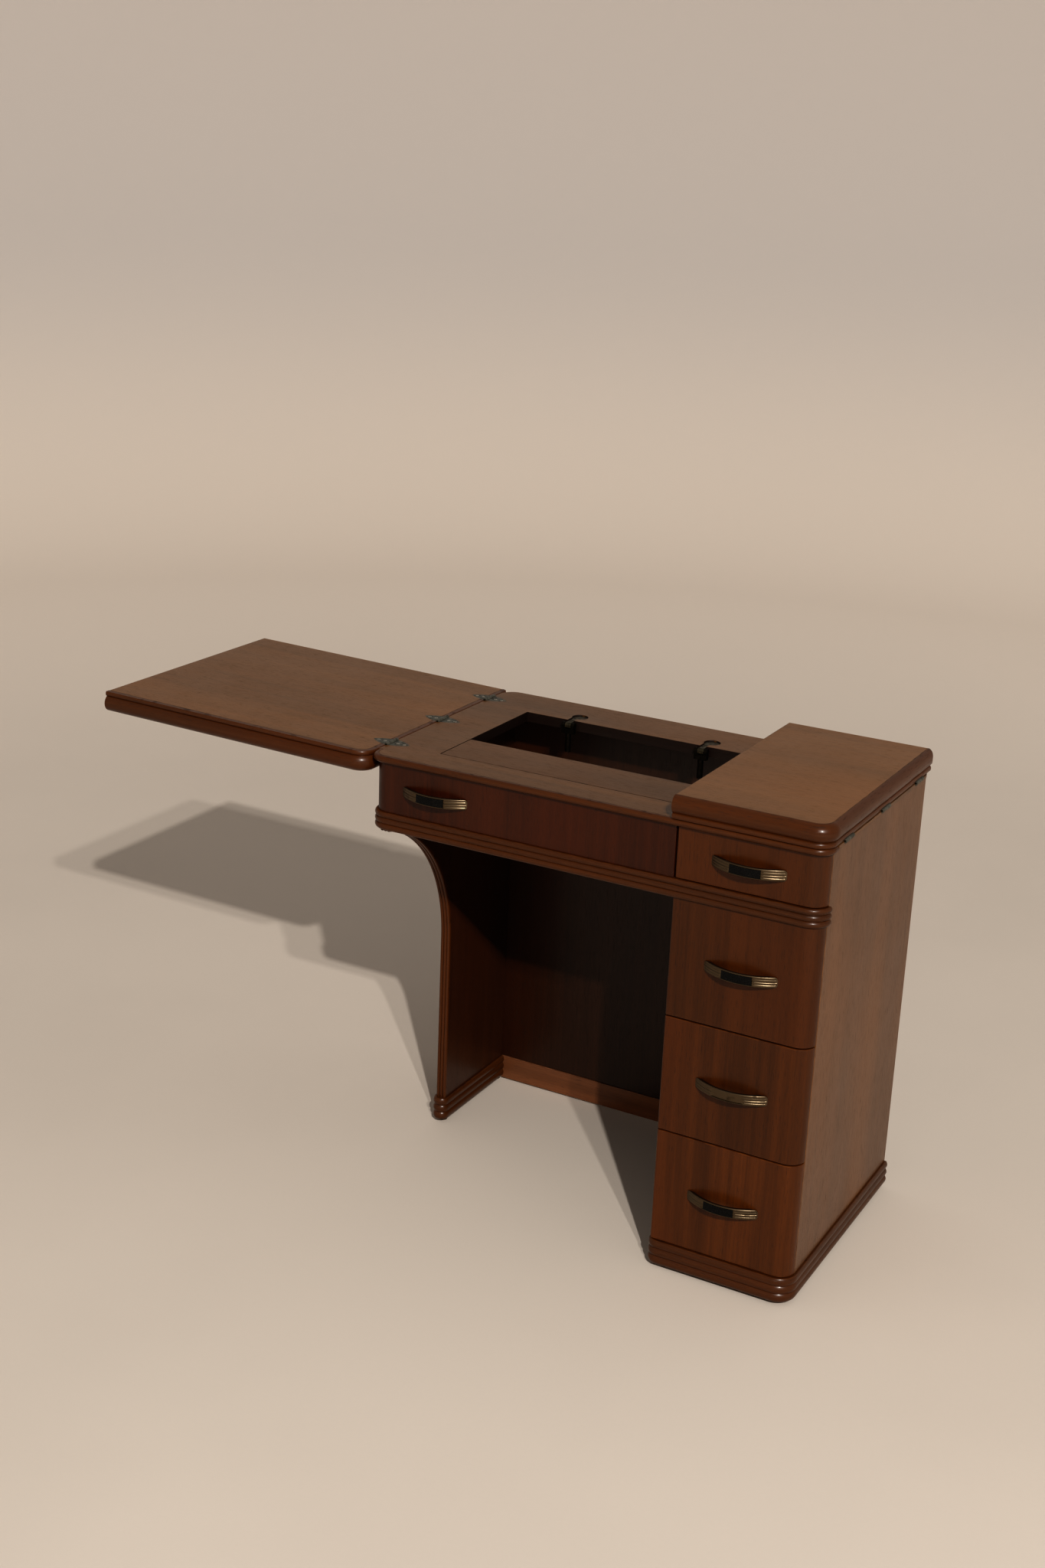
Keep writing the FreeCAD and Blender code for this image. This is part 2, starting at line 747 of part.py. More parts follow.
def machine_hinge_finger(label, x):
    """Forked finger that hangs in the opening; its round shank enters the back of a machine's bed."""
    y, z = MACHINE_KNUCKLE_Y, MACHINE_KNUCKLE_Z
    cheek_starts = (x - STRAP_WIDTH - YOKE_SLACK - YOKE_CHEEK, x + YOKE_SLACK)
    depth = (y - YOKE_HALF, y + YOKE_HALF)
    pieces = [
        rod(f"{label}_cheek_{i}", "x", (start, y, z), dim("machine_knuckle_radius"), YOKE_CHEEK)
        for i, start in enumerate(cheek_starts)
    ]
    pieces += [
        block(f"{label}_arm_{i}", (start, start + YOKE_CHEEK), depth, (z - YOKE_LOW, z))
        for i, start in enumerate(cheek_starts)
    ]
    across = (cheek_starts[0], cheek_starts[1] + YOKE_CHEEK)
    pieces.append(block(f"{label}_yoke", across, depth, (z - YOKE_LOW, z - YOKE_TOP)))
    pieces.append(
        rod(
            f"{label}_shank",
            "z",
            (x - STRAP_WIDTH / 2, y, z - YOKE_LOW - dim("machine_finger_length")),
            dim("machine_finger_radius"),
            dim("machine_finger_length"),
        )
    )
    bore = rod(
        f"{label}_bore",
        "x",
        (across[0] - OVERCUT, y, z),
        MACHINE_PIN + dim("running_clearance"),
        across[1] - across[0] + 2 * OVERCUT,
    )
    keep(label, cut(f"{label}_cut", fuse(f"{label}_solid", pieces), [bore]))


# ---------------------------------------------------------------- leaves


def span(up, near, far):
    """The low and high plane of a layer that starts at near and ends at far, measured the up way."""
    return (near, far) if up > 0 else (-far, -near)


def leaf(side, length, axis_x, tilt, up):
    """One leaf of the folding top about its own hinge axis, reaching towards -x.

    up is 1 for a leaf folded over the cabinet, with its hinge plane beneath, and -1 for one laid open.
    """
    thick = dim("leaf_thickness")
    far = -HALF_GAP - length
    low, high = span(up, HALF_GAP, HALF_GAP + thick)
    face = low if up > 0 else high
    radius = BORDER_RADIUS
    border = [
        (far, BORDER_FRONT),
        (LEAF_BORDER - radius, BORDER_FRONT),
        (LEAF_BORDER, BORDER_FRONT + radius, radius, 1),
        (LEAF_BORDER, LEAF_BACK),
    ]

    def place(label, item):
        item.Label = label
        turn = FreeCAD.Rotation(FreeCAD.Vector(0, 1, 0), tilt.number)
        item.Placement = FreeCAD.Placement(FreeCAD.Vector(), turn)
        if tilt.number:
            bind(item, "Placement.Rotation.Angle", tilt)
        set_base(item, (ORIGIN[0] + axis_x, ORIGIN[1], AXIS_Z))
        sub_parts.append(item)

    plate_low = face if up > 0 else face - dim("hinge_plate_thickness")
    blanks = hinge_plate_blanks(f"{side}_leaf_blank", -HALF_GAP, -1, plate_low)
    screws = screw_set(f"{side}_leaf_screw", ZERO, face, -1, -up)
    notches = knuckle_notches(f"{side}_leaf_notch", ZERO, ZERO)

    panel = prism(f"{side}_leaf_board", "XY_Plane", border + [(far, LEAF_BACK)], low, high)
    place(f"{side}_leaf_panel", cut(f"{side}_leaf_panel_cut", panel, blanks + screws))

    def at(out, rise):
        return BORDER_FRONT - out, face + rise * up

    lip_top = dim("leaf_lip_height")
    section = [
        at(ZERO, ZERO),
        at(ZERO, thick),
        at(ROLL_OUT, ROLL_LOW) + (dim("leaf_roll_radius"), up),
        at(QUIRK_OUT, lip_top + QUIRK_RISE),
        at(LIP_OUT, lip_top),
        at(LIP_OUT, ZERO) + (LIP_ARC, up),
    ]
    roll = swept_body(f"{side}_leaf_roll_body", border, "XY_Plane", section, "YZ_Plane", far)
    outer = LEAF_BORDER + ROLL_CROWN
    end = ROLL_END_RADIUS
    rounding = [
        (outer - end, LEAF_BACK),
        (outer, LEAF_BACK - end, end, -1),
        (outer + OVERCUT, LEAF_BACK - end),
        (outer + OVERCUT, LEAF_BACK + OVERCUT),
        (outer - end, LEAF_BACK + OVERCUT),
    ]
    tool = f"{side}_leaf_roll_corner"
    corner = prism(tool, "XY_Plane", rounding, low - OVERCUT, high + OVERCUT)
    place(f"{side}_leaf_roll", cut(f"{side}_leaf_roll_cut", roll, blanks + notches + [corner]))

    def rods(part, radius, start, length):
        return knuckle_rods(f"{side}_leaf_{part}", ZERO, ZERO, radius, start, length)

    half_third = KNUCKLE_THIRD / 2
    bore = dim("hinge_pin_radius") + dim("running_clearance")
    bores = rods("bore", bore, -half_third - OVERCUT, KNUCKLE_THIRD + 2 * OVERCUT)
    centres = rods("knuckle", dim("knuckle_radius"), -half_third, KNUCKLE_THIRD)
    space = KNUCKLE_THIRD + NOTCH_SLACK
    spaces = [
        rods("front_space", NOTCH, KNUCKLE_THIRD * -1.5 - NOTCH_SLACK, space),
        rods("back_space", NOTCH, half_third, space),
    ]
    plates = []
    for i, y in enumerate(HINGE_PLACES):
        tab = block(
            f"{side}_leaf_tab_{i}",
            (-HALF_GAP, ZERO),
            (y - half_third, y + half_third),
            (plate_low, plate_low + dim("hinge_plate_thickness")),
        )
        solid = fuse(f"{side}_leaf_hinge_solid_{i}", [blanks[i], tab, centres[i]])
        tools = [bores[i], spaces[0][i], spaces[1][i]] + screws[2 * i : 2 * i + 2]
        plates.append(cut(f"{side}_leaf_plate_{i}", solid, tools))
    place(f"{side}_leaf_hinge_plates", together(f"{side}_leaf_plate_set", plates))
    place(f"{side}_leaf_hinge_screws", together(f"{side}_leaf_screw_set", screws))


# ---------------------------------------------------------------- carcase

REED_COUNT = 3
REED_PROUD = 2.5
PEDESTAL_CORNER = as_size(12.0)
BOTTOM_BOARD = 18
BACK_LAP = 2
FRONT_NIB = as_size(3.0)
HOOK_SLACK = 1


def end_panel():
    """Left end: a board in the side plane whose front edge sweeps back into a leg."""
    arc = dim("leg_arc_radius")
    leg = dim("leg_front")
    centre_y = leg - arc
    arc_top = dim("leg_arc_start") + other_leg(arc, CORNER - centre_y)
    outline = [
        (CORNER, TOP_LIP),
        (CORNER, arc_top),
        (leg, dim("leg_arc_start"), arc, -1),
        (leg, BASE_LOW),
        (DEPTH, BASE_LOW),
        (DEPTH, TOP_LIP),
    ]
    keep("left_end_panel", prism("left_end_board", "YZ_Plane", outline, ZERO, INNER_LEFT))

    path = [(leg, BASE_HIGH), (leg, dim("leg_arc_start")), (CORNER, arc_top, arc, 1)]
    root = leg - REED_PROUD
    section = [(INNER_LEFT, leg), (ZERO, leg), (ZERO, root)]
    section += reeds(ZERO, INNER_LEFT, root, REED_COUNT, REED_PROUD, 1)
    name = "end_panel_reeding"
    middle = INNER_LEFT / 2
    keep(name, swept_body(name, path, "YZ_Plane", section, "XY_Plane", BASE_HIGH, middle))


def moulding_section(line, low, high, inward, outward_sign):
    """Three stacked beads on a flat back, for a moulding whose face line is at u = line."""
    root = line + (dim("bead_out") - REED_PROUD) * outward_sign
    back = line - inward * outward_sign
    beads = swap(reeds(low, high, root, REED_COUNT, REED_PROUD, -outward_sign))
    turned = [(u, v, r, outward_sign) for u, v, r, _ in beads]
    return [(back, high), (back, low), (root, low)] + turned


def band_moulding():
    """Reeded band under the top row, along the front and round both corners to the side panels."""
    path = [
        (ZERO, CORNER),
        (CORNER, ZERO, CORNER, 1),
        (WIDTH - CORNER, ZERO),
        (WIDTH, CORNER, CORNER, 1),
    ]
    section = moulding_section(ZERO, BAND_LOW, BAND_HIGH, dim("moulding_in"), -1)
    keep("band_moulding", swept_body("band_moulding", path, "XY_Plane", section, "XZ_Plane", -CORNER))


def pedestal_base():
    """Reeded base moulding round the pedestal, and the bottom board inside it."""
    small = PEDESTAL_CORNER
    path = [
        (PEDESTAL, DEPTH),
        (PEDESTAL, small),
        (PEDESTAL + small, ZERO, small, 1),
        (WIDTH - CORNER, ZERO),
        (WIDTH, CORNER, CORNER, 1),
        (WIDTH, DEPTH),
    ]
    inward = dim("moulding_in")
    section = moulding_section(PEDESTAL, BASE_LOW, BASE_HIGH, inward, -1)
    name = "pedestal_base_moulding"
    keep(name, swept_body(name, path, "XY_Plane", section, "XZ_Plane", -DEPTH))
    left, right = PEDESTAL + inward, WIDTH - inward
    small_in, large_in = small - inward, CORNER - inward
    outline = [
        (left, DEPTH),
        (left, inward + small_in),
        (left + small_in, inward, small_in, 1),
        (right - large_in, inward),
        (right, inward + large_in, large_in, 1),
        (right, DEPTH),
    ]
    low = BASE_HIGH - BOTTOM_BOARD
    keep("pedestal_bottom", prism("pedestal_bottom_board", "XY_Plane", outline, low, BASE_HIGH))


def leg_base():
    """Reeded moulding round the foot of the end panel, with a rounded front."""
    half = INNER_LEFT / 2
    leg = dim("leg_front")
    path = [
        (ZERO, DEPTH),
        (ZERO, leg),
        (half, leg - half, half, 1),
        (INNER_LEFT, leg, half, 1),
        (INNER_LEFT, BACK_FACE - BACK_LAP),
    ]
    section = moulding_section(ZERO, BASE_LOW, BASE_HIGH, ZERO, -1)
    wrap = swept_body("leg_base_wrap", path, "XY_Plane", section, "XZ_Plane", -DEPTH)
    nose_outline = [
        (ZERO, leg),
        (half, leg - half, half, 1),
        (INNER_LEFT, leg, half, 1),
    ]
    nose = prism("leg_base_nose", "XY_Plane", nose_outline, BASE_LOW, BASE_HIGH)
    keep("leg_base_moulding", fuse("leg_base_solid", [wrap, nose]))


def plain_boards():
    """Square-edged boards of the carcase."""
    panel_height = (BASE_HIGH, TOP_CORE)
    back = (BACK_FACE, BACK_REAR)
    board("right_side_panel", (INNER_RIGHT, WIDTH), (CORNER, DEPTH), (BASE_HIGH, TOP_LIP))
    board("pedestal_left_side", (PEDESTAL, PEDESTAL_IN), (FRONT_BACK, BACK_FACE), panel_height)
    board("pedestal_back", (PEDESTAL_IN, INNER_RIGHT), back, panel_height)
    board("knee_back_panel", (INNER_LEFT, PEDESTAL_IN), back, panel_height)
    board(
        "knee_back_rail",
        (INNER_LEFT, PEDESTAL - dim("bead_out")),
        (BACK_FACE - BACK_LAP, DEPTH),
        (dim("back_rail_low"), BASE_HIGH),
    )
    behind = dim("moulding_in")
    rail_depth = (behind, behind + dim("front_board"))
    board("front_rail", (CORNER, PEDESTAL), rail_depth, (BAND_LOW, BAND_HIGH))


def front_outline(left, right, square_left):
    """Plan of a front whose outer corner is rounded and hooks back to the side panel."""
    hook = dim("side_panel") - HOOK_SLACK
    if square_left:
        return [
            (left, FRONT_NIB),
            (left + FRONT_NIB, ZERO, FRONT_NIB, 1),
            (right - CORNER, ZERO),
            (right, CORNER, CORNER, 1),
            (right - hook, CORNER),
            (right - hook, FRONT_BACK),
            (left, FRONT_BACK),
        ]
    return [
        (left, CORNER),
        (left + CORNER, ZERO, CORNER, 1),
        (right, ZERO),
        (right, FRONT_BACK),
        (left + hook, FRONT_BACK),
        (left + hook, CORNER),
    ]


def false_front():
    right = PEDESTAL - dim("front_gap") / 2
    outline = front_outline(ZERO, right, False)
    keep("false_front", prism("false_front_board", "XY_Plane", outline, BAND_HIGH, TOP_BEAD))


GLIDE_FOOT = as_size(6.5)
GLIDE_RIM = as_size(8.5)
LEG_GLIDE_FRONT = 8
LEG_GLIDE_BACK = 12
GLIDE_INSET = as_size(34)


def floor_glides():
    """Tapered glides: two under the leg and four under the pedestal."""
    leg_x = INNER_LEFT / 2
    places = [(leg_x, dim("leg_front") + LEG_GLIDE_FRONT), (leg_x, DEPTH - LEG_GLIDE_BACK)]
    for x in (PEDESTAL + GLIDE_INSET, WIDTH - GLIDE_INSET):
        places += [(x, GLIDE_INSET), (x, DEPTH - GLIDE_INSET)]
    glides = [
        cone(f"glide_{i}", (x, y, ZERO), GLIDE_FOOT, GLIDE_RIM, BASE_LOW)
        for i, (x, y) in enumerate(places)
    ]
    keep("floor_glides", together("floor_glide_set", glides))


PLINTH_BLOCK = as_size(40)
PLINTH_INSET = as_size(14)
TOP_BLOCK = as_size(20)
TOP_BLOCK_LENGTH = 50
TOP_BLOCK_PLACES = (60, 200, 350)


def glue_blocks():
    """Corner blocks in the plinth and under the top."""
    blocks = []
    height = (BASE_LOW, BASE_HIGH - BOTTOM_BOARD)
    far = PLINTH_INSET + PLINTH_BLOCK
    for i, x in enumerate((PEDESTAL + PLINTH_INSET, WIDTH - far)):
        for j, y in enumerate((PLINTH_INSET, DEPTH - far)):
            name = f"plinth_block_{i}{j}"
            blocks.append(block(name, (x, x + PLINTH_BLOCK), (y, y + PLINTH_BLOCK), height))
    height = (TOP_CORE - TOP_BLOCK, TOP_CORE)
    for i, y in enumerate(TOP_BLOCK_PLACES):
        depth = (y, y + TOP_BLOCK_LENGTH)
        for name, x in (("end_block", INNER_LEFT), ("pedestal_block", PEDESTAL - TOP_BLOCK)):
            blocks.append(block(f"{name}_{i}", (x, x + TOP_BLOCK), depth, height))
    keep("glue_blocks", together("glue_block_set", blocks))


# ---------------------------------------------------------------- drawers

DRAWER_COUNT = 4
BOX_RISE = 4
BOX_DROP = 17
RAIL_RISE = 1
RAIL_DROP = 5
GROOVE_DEPTH = 4
GROOVE_RISE = 6
GROOVE_WIDTH = 4
BACK_DROP = 4
DIVIDER_DEPTH = 50
DIVIDER_SLACK = 1
RAIL_SLACK = 1.5
RAIL_DEPTH = 44.5
RUNNER_WIDTH = as_size(14.0)
RUNNER_HEIGHT = as_size(10.0)
RUNNER_SLACK = 0.4
RUNNER_FRONT = as_size(70)


def drawer_levels():
    """Low and high edge of each drawer front, from the top one down."""
    half = dim("front_gap") / 2
    pitch = (BAND_LOW - BASE_HIGH) / (DRAWER_COUNT - 1)
    levels = [(BAND_HIGH + half, TOP_BEAD - half)]
    for i in range(DRAWER_COUNT - 1):
        high = BAND_LOW - pitch * i
        levels.append((high - pitch + half, high - half))
    return levels


def box_levels(low, high, top_row):
    """Low and high edge of the box behind a front."""
    rail = dim("rail_height") / 2
    if top_row:
        return low + BOX_RISE, high - BOX_DROP
    return low + rail + RAIL_RISE, high - rail - RAIL_DROP


def drawer(number, low, high):
    """Front, sides, back and bottom of one drawer."""
    name = f"drawer_{number}"
    top_row = number == 1
    left = PEDESTAL + dim("front_gap") / 2 if top_row else PEDESTAL
    face = prism(f"{name}_board", "XY_Plane", front_outline(left, WIDTH, True), low, high)
    relief = block(
        f"{name}_relief",
        (INNER_RIGHT - OVERCUT, WIDTH + OVERCUT),
        (CORNER - HOOK_SLACK, CORNER + OVERCUT),
        (low - OVERCUT, high + OVERCUT),
    )
    keep(f"{name}_front", cut(f"{name}_front_cut", face, [relief]))

    box_low, box_high = box_levels(low, high, top_row)
    side = dim("drawer_side")
    x_left = PEDESTAL_IN + dim("drawer_clearance")
    x_right = INNER_RIGHT - dim("drawer_clearance")
    rear = dim("drawer_back")
    inside_left, inside_right = x_left + side, x_right - side
    bottom = (
        (inside_left - GROOVE_DEPTH, inside_right + GROOVE_DEPTH),
        (FRONT_BACK, rear - side),
        (box_low + GROOVE_RISE, box_low + GROOVE_RISE + GROOVE_WIDTH),
    )
    groove = block(f"{name}_groove", *bottom)
    walls = [
        block(f"{name}_side_{i}", across, (FRONT_BACK, rear), (box_low, box_high))
        for i, across in enumerate(((x_left, inside_left), (inside_right, x_right)))
    ]
    back = block(
        f"{name}_back_wall",
        (inside_left, inside_right),
        (rear - side, rear),
        (box_low, box_high - BACK_DROP),
    )
    grooved = [cut(f"{name}_wall_{i}", wall, [groove]) for i, wall in enumerate(walls)]
    keep(f"{name}_box", together(f"{name}_box_set", grooved + [back]))
    board(f"{name}_bottom", *bottom)


def drawer_supports():
    """Rails between the drawers and runners under each box."""
    levels = drawer_levels()
    rail = dim("rail_height")
    rails = [
        block(
            "band_divider",
            (PEDESTAL_IN, WIDTH - CORNER),
            (dim("moulding_in"), dim("moulding_in") + DIVIDER_DEPTH),
            (BAND_LOW + DIVIDER_SLACK, BAND_HIGH - DIVIDER_SLACK),
        )
    ]
    for i, (low, _) in enumerate(levels[1:-1]):
        middle = low - dim("front_gap") / 2
        front = FRONT_BACK + RAIL_SLACK
        height = (middle - rail / 2, middle + rail / 2)
        across = (PEDESTAL_IN, INNER_RIGHT)
        rails.append(block(f"divider_{i}", across, (front, front + RAIL_DEPTH), height))
    keep("drawer_rails", together("drawer_rail_set", rails))
    runners = []
    for i, (low, high) in enumerate(levels):
        box_low, _ = box_levels(low, high, i == 0)
        top = box_low - RUNNER_SLACK
        depth, height = (RUNNER_FRONT, BACK_FACE), (top - RUNNER_HEIGHT, top)
        for name, x in (("left", PEDESTAL_IN), ("right", INNER_RIGHT - RUNNER_WIDTH)):
            runners.append(block(f"runner_{name}_{i}", (x, x + RUNNER_WIDTH), depth, height))
    keep("drawer_runners", together("drawer_runner_set", runners))


# ---------------------------------------------------------------- pulls

PULL_METAL = 4.5
INLAY_DEPTH = as_size(1.2)
INLAY_PROUD = as_size(0.3)


def pull(name, x, z, inlaid=True):
    """Bow-shaped metal pull, with a dark slip let into the middle of its face."""
    half = dim("pull_length") / 2
    foot = dim("pull_foot")
    outer = arc_radius(dim("pull_length"), dim("pull_bow"))
    inner = arc_radius(dim("pull_length") - foot * 2, dim("pull_bow") - PULL_METAL)
    low, high = z - dim("pull_height") / 2, z + dim("pull_height") / 2
    bow = prism(
        f"{name}_bow",
        "XY_Plane",
        [
            (x - half, ZERO),
            (x + half, ZERO, outer, 1),
            (x + half - foot, ZERO),
            (x - half + foot, ZERO, inner, -1),
        ],
        low,
        high,
    )
    reach = dim("pull_inlay_length") / 2
    centre_y = outer - dim("pull_bow")
    skin = centre_y - other_leg(outer, reach)
    slip = prism(
        f"{name}_slip",
        "XY_Plane",
        [
            (x - reach, skin - INLAY_PROUD),
            (x + reach, skin - INLAY_PROUD, outer, 1),
            (x + reach, skin + INLAY_DEPTH),
            (x - reach, skin + INLAY_DEPTH, outer, -1),
        ],
        z - dim("pull_inlay_height") / 2,
        z + dim("pull_inlay_height") / 2,
    )
    if inlaid:
        keep(f"{name}_inlay", together(f"{name}_inlay_set", [slip]))
    keep(name, cut(f"{name}_cut", bow, [slip]))


# ---------------------------------------------------------------- the table


def build():
    left_blanks, left_screws, left_pins = fixed_hinges(SIDE_LEFT, "left_hinge_plates", AXIS_LEFT)
    right_blanks, right_screws, right_pins = fixed_hinges(SIDE_RIGHT, "right_hinge_plates", AXIS_RIGHT)
    main_top(left_blanks + right_blanks, left_screws + right_screws)
    keep("top_hinge_screws", together("top_hinge_screw_set", left_screws + right_screws))
    axles = machine_hinge_brackets()
    keep("hinge_pins", together("hinge_pin_set", left_pins + right_pins + axles))
    for side, x in zip(("left", "right"), machine_hinge_places()):
        machine_hinge_finger(f"machine_hinge_finger_{side}", x)
    top_edge_bead()
    front_flap()
    flap_ledges()
    leaf("left", dim("left_leaf_length"), AXIS_LEFT, dim("leaf_tilt"), -1)
    leaf("right", dim("right_leaf_length"), AXIS_RIGHT, ZERO, 1)
    end_panel()
    leg_base()
    band_moulding()
    pedestal_base()
    plain_boards()
    false_front()
    floor_glides()
    glue_blocks()
    drawer_supports()
    pull("false_front_pull", dim("false_pull_x"), (BAND_HIGH + TOP_BEAD) / 2)
    pull_x = (PEDESTAL + WIDTH) / 2
    for number, (low, high) in enumerate(drawer_levels(), start=1):
        drawer(number, low, high)
        pull(f"drawer_{number}_pull", pull_x, (low + high) / 2, inlaid=number != 3)


def check_and_write():
    doc.recompute()
    for item in doc.Objects:
        if "Invalid" in item.State or "Error" in item.State:
            raise RuntimeError(f"{item.Label} failed: {item.State}")
    for item in sub_parts:
        if item.Shape.isNull() or not item.Shape.isValid():
            raise RuntimeError(f"{item.Label} has no valid shape")
    os.makedirs("parts", exist_ok=True)
    for item in sub_parts:
        item.Shape.exportStep(f"parts/{item.Label}.step")
    print(f"{len(sub_parts)} sub-parts written")


build()
check_and_write()
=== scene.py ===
"""Looks of a sewing table with two folding leaves, around its CAD frame, in metres."""

import json
import math
import random

import bmesh
import bpy
from mathutils import Matrix, Vector

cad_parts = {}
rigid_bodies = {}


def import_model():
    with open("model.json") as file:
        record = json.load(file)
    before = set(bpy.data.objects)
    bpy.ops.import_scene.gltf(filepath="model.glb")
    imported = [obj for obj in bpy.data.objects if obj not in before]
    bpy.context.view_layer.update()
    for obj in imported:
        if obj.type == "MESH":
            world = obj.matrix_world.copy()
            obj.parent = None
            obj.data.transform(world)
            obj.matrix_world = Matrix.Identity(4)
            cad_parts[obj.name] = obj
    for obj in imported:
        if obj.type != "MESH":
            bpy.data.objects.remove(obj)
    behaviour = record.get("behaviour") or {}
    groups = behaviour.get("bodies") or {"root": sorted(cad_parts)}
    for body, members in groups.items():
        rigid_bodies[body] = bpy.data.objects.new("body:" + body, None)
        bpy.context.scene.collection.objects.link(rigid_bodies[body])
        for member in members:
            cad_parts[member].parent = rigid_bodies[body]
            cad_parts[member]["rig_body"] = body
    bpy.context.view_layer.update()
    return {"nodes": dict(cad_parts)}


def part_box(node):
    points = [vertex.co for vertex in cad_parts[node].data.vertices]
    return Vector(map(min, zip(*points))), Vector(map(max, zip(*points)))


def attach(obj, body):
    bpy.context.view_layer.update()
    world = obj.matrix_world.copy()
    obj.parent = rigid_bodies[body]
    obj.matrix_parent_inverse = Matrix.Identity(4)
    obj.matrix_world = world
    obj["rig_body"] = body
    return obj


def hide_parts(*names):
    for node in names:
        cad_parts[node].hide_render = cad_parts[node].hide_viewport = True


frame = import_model()
MM = 0.001
NODES = frame["nodes"]


# ---------------------------------------------------------------- camera, stage and light


def polar(azimuth, elevation, distance, centre):
    """The point at that azimuth (0 is in front, 90 to the right) and elevation, in degrees."""
    a, e = math.radians(azimuth), math.radians(elevation)
    away = Vector((math.sin(a) * math.cos(e), -math.cos(a) * math.cos(e), math.sin(e)))
    return centre + away * distance


CAMERA_AZIMUTH = 28.21
CAMERA_ELEVATION = 18.53
CAMERA_ROLL = 2.36
CAMERA_DISTANCE = 3.0
CAMERA_AIM = Vector((0.1462, -0.2090, 0.7392))
CAMERA_LENS = 45.85


def make_camera():
    data = bpy.data.cameras.new("camera")
    data.lens = CAMERA_LENS
    camera = bpy.data.objects.new("camera", data)
    bpy.context.scene.collection.objects.link(camera)
    camera.location = polar(CAMERA_AZIMUTH, CAMERA_ELEVATION, CAMERA_DISTANCE, CAMERA_AIM)
    turn = (CAMERA_AIM - camera.location).to_track_quat("-Z", "Y").to_matrix()
    roll = Matrix.Rotation(math.radians(CAMERA_ROLL), 3, "Z")
    camera.rotation_euler = (turn @ roll).to_euler()
    bpy.context.scene.camera = camera


LIGHTS = (
    # name, azimuth, elevation, distance, size, watts, colour
    ("key_light", 37.5, 35.0, 9.0, 0.14, 405.0, (1.0, 0.985, 0.955)),
    ("second_light", 42.0, 34.5, 9.0, 0.14, 195.0, (1.0, 0.985, 0.955)),
)
LIGHT_AIM = Vector((0.0, 0.0, 0.4))
SKY = (1.0, 0.97, 0.94)
SKY_STRENGTH = 0.30


def make_lights():
    for name, azimuth, elevation, distance, size, watts, colour in LIGHTS:
        data = bpy.data.lights.new(name, "AREA")
        data.shape = "DISK"
        data.size = size
        data.energy = watts
        data.color = colour
        lamp = bpy.data.objects.new(name, data)
        bpy.context.scene.collection.objects.link(lamp)
        lamp.location = polar(azimuth, elevation, distance, LIGHT_AIM)
        lamp.rotation_euler = (LIGHT_AIM - lamp.location).to_track_quat("-Z", "Y").to_euler()
    world = bpy.data.worlds.new("soft_surround")
    world.use_nodes = True
    background = world.node_tree.nodes["Background"]
    background.inputs["Color"].default_value = (*SKY, 1.0)
    background.inputs["Strength"].default_value = SKY_STRENGTH
    bpy.context.scene.world = world
    bpy.context.scene.view_settings.view_transform = "Standard"
    bpy.context.scene.view_settings.look = "High Contrast"


STAGE_FLAT = 4.4
STAGE_CURVE = 2.4
STAGE_TOP = 3.2
STAGE_STEPS = 16
STAGE_SIDES = 96
# painted light on the stage paper: the far floor lighter, the backdrop lighter and cooler
FAR_FLOOR_PAINTED_LIGHT = 1.36
WALL_PAINTED_LIGHT = (1.06, 1.10, 1.17)


def make_stage(finish):
    """A pale floor that rises in one smooth curve into a round backdrop."""
    profile = [(0.0, 0.0), (STAGE_FLAT, 0.0)]
    for i in range(1, STAGE_STEPS + 1):
        turn = math.pi / 2 * i / STAGE_STEPS
        out, up = math.sin(turn), 1 - math.cos(turn)
        profile.append((STAGE_FLAT + STAGE_CURVE * out, STAGE_CURVE * up))
    profile.append((STAGE_FLAT + STAGE_CURVE, STAGE_TOP))
    mesh = bmesh.new()
    centre = mesh.verts.new((0.0, 0.0, 0.0))
    rings = []
    for radius, height in profile[1:]:
        ring = []
        for j in range(STAGE_SIDES):
            turn = math.tau * j / STAGE_SIDES
            ring.append(mesh.verts.new((radius * math.cos(turn), radius * math.sin(turn), height)))
        rings.append(ring)
    for j in range(STAGE_SIDES):
        after = (j + 1) % STAGE_SIDES
        mesh.faces.new((centre, rings[0][j], rings[0][after]))
        for low, high in zip(rings, rings[1:]):
            mesh.faces.new((low[j], high[j], high[after], low[after]))
    for face in mesh.faces:
        face.smooth = True
    floor = to_object(mesh, "studio_floor", finish)


# ---------------------------------------------------------------- material nodes


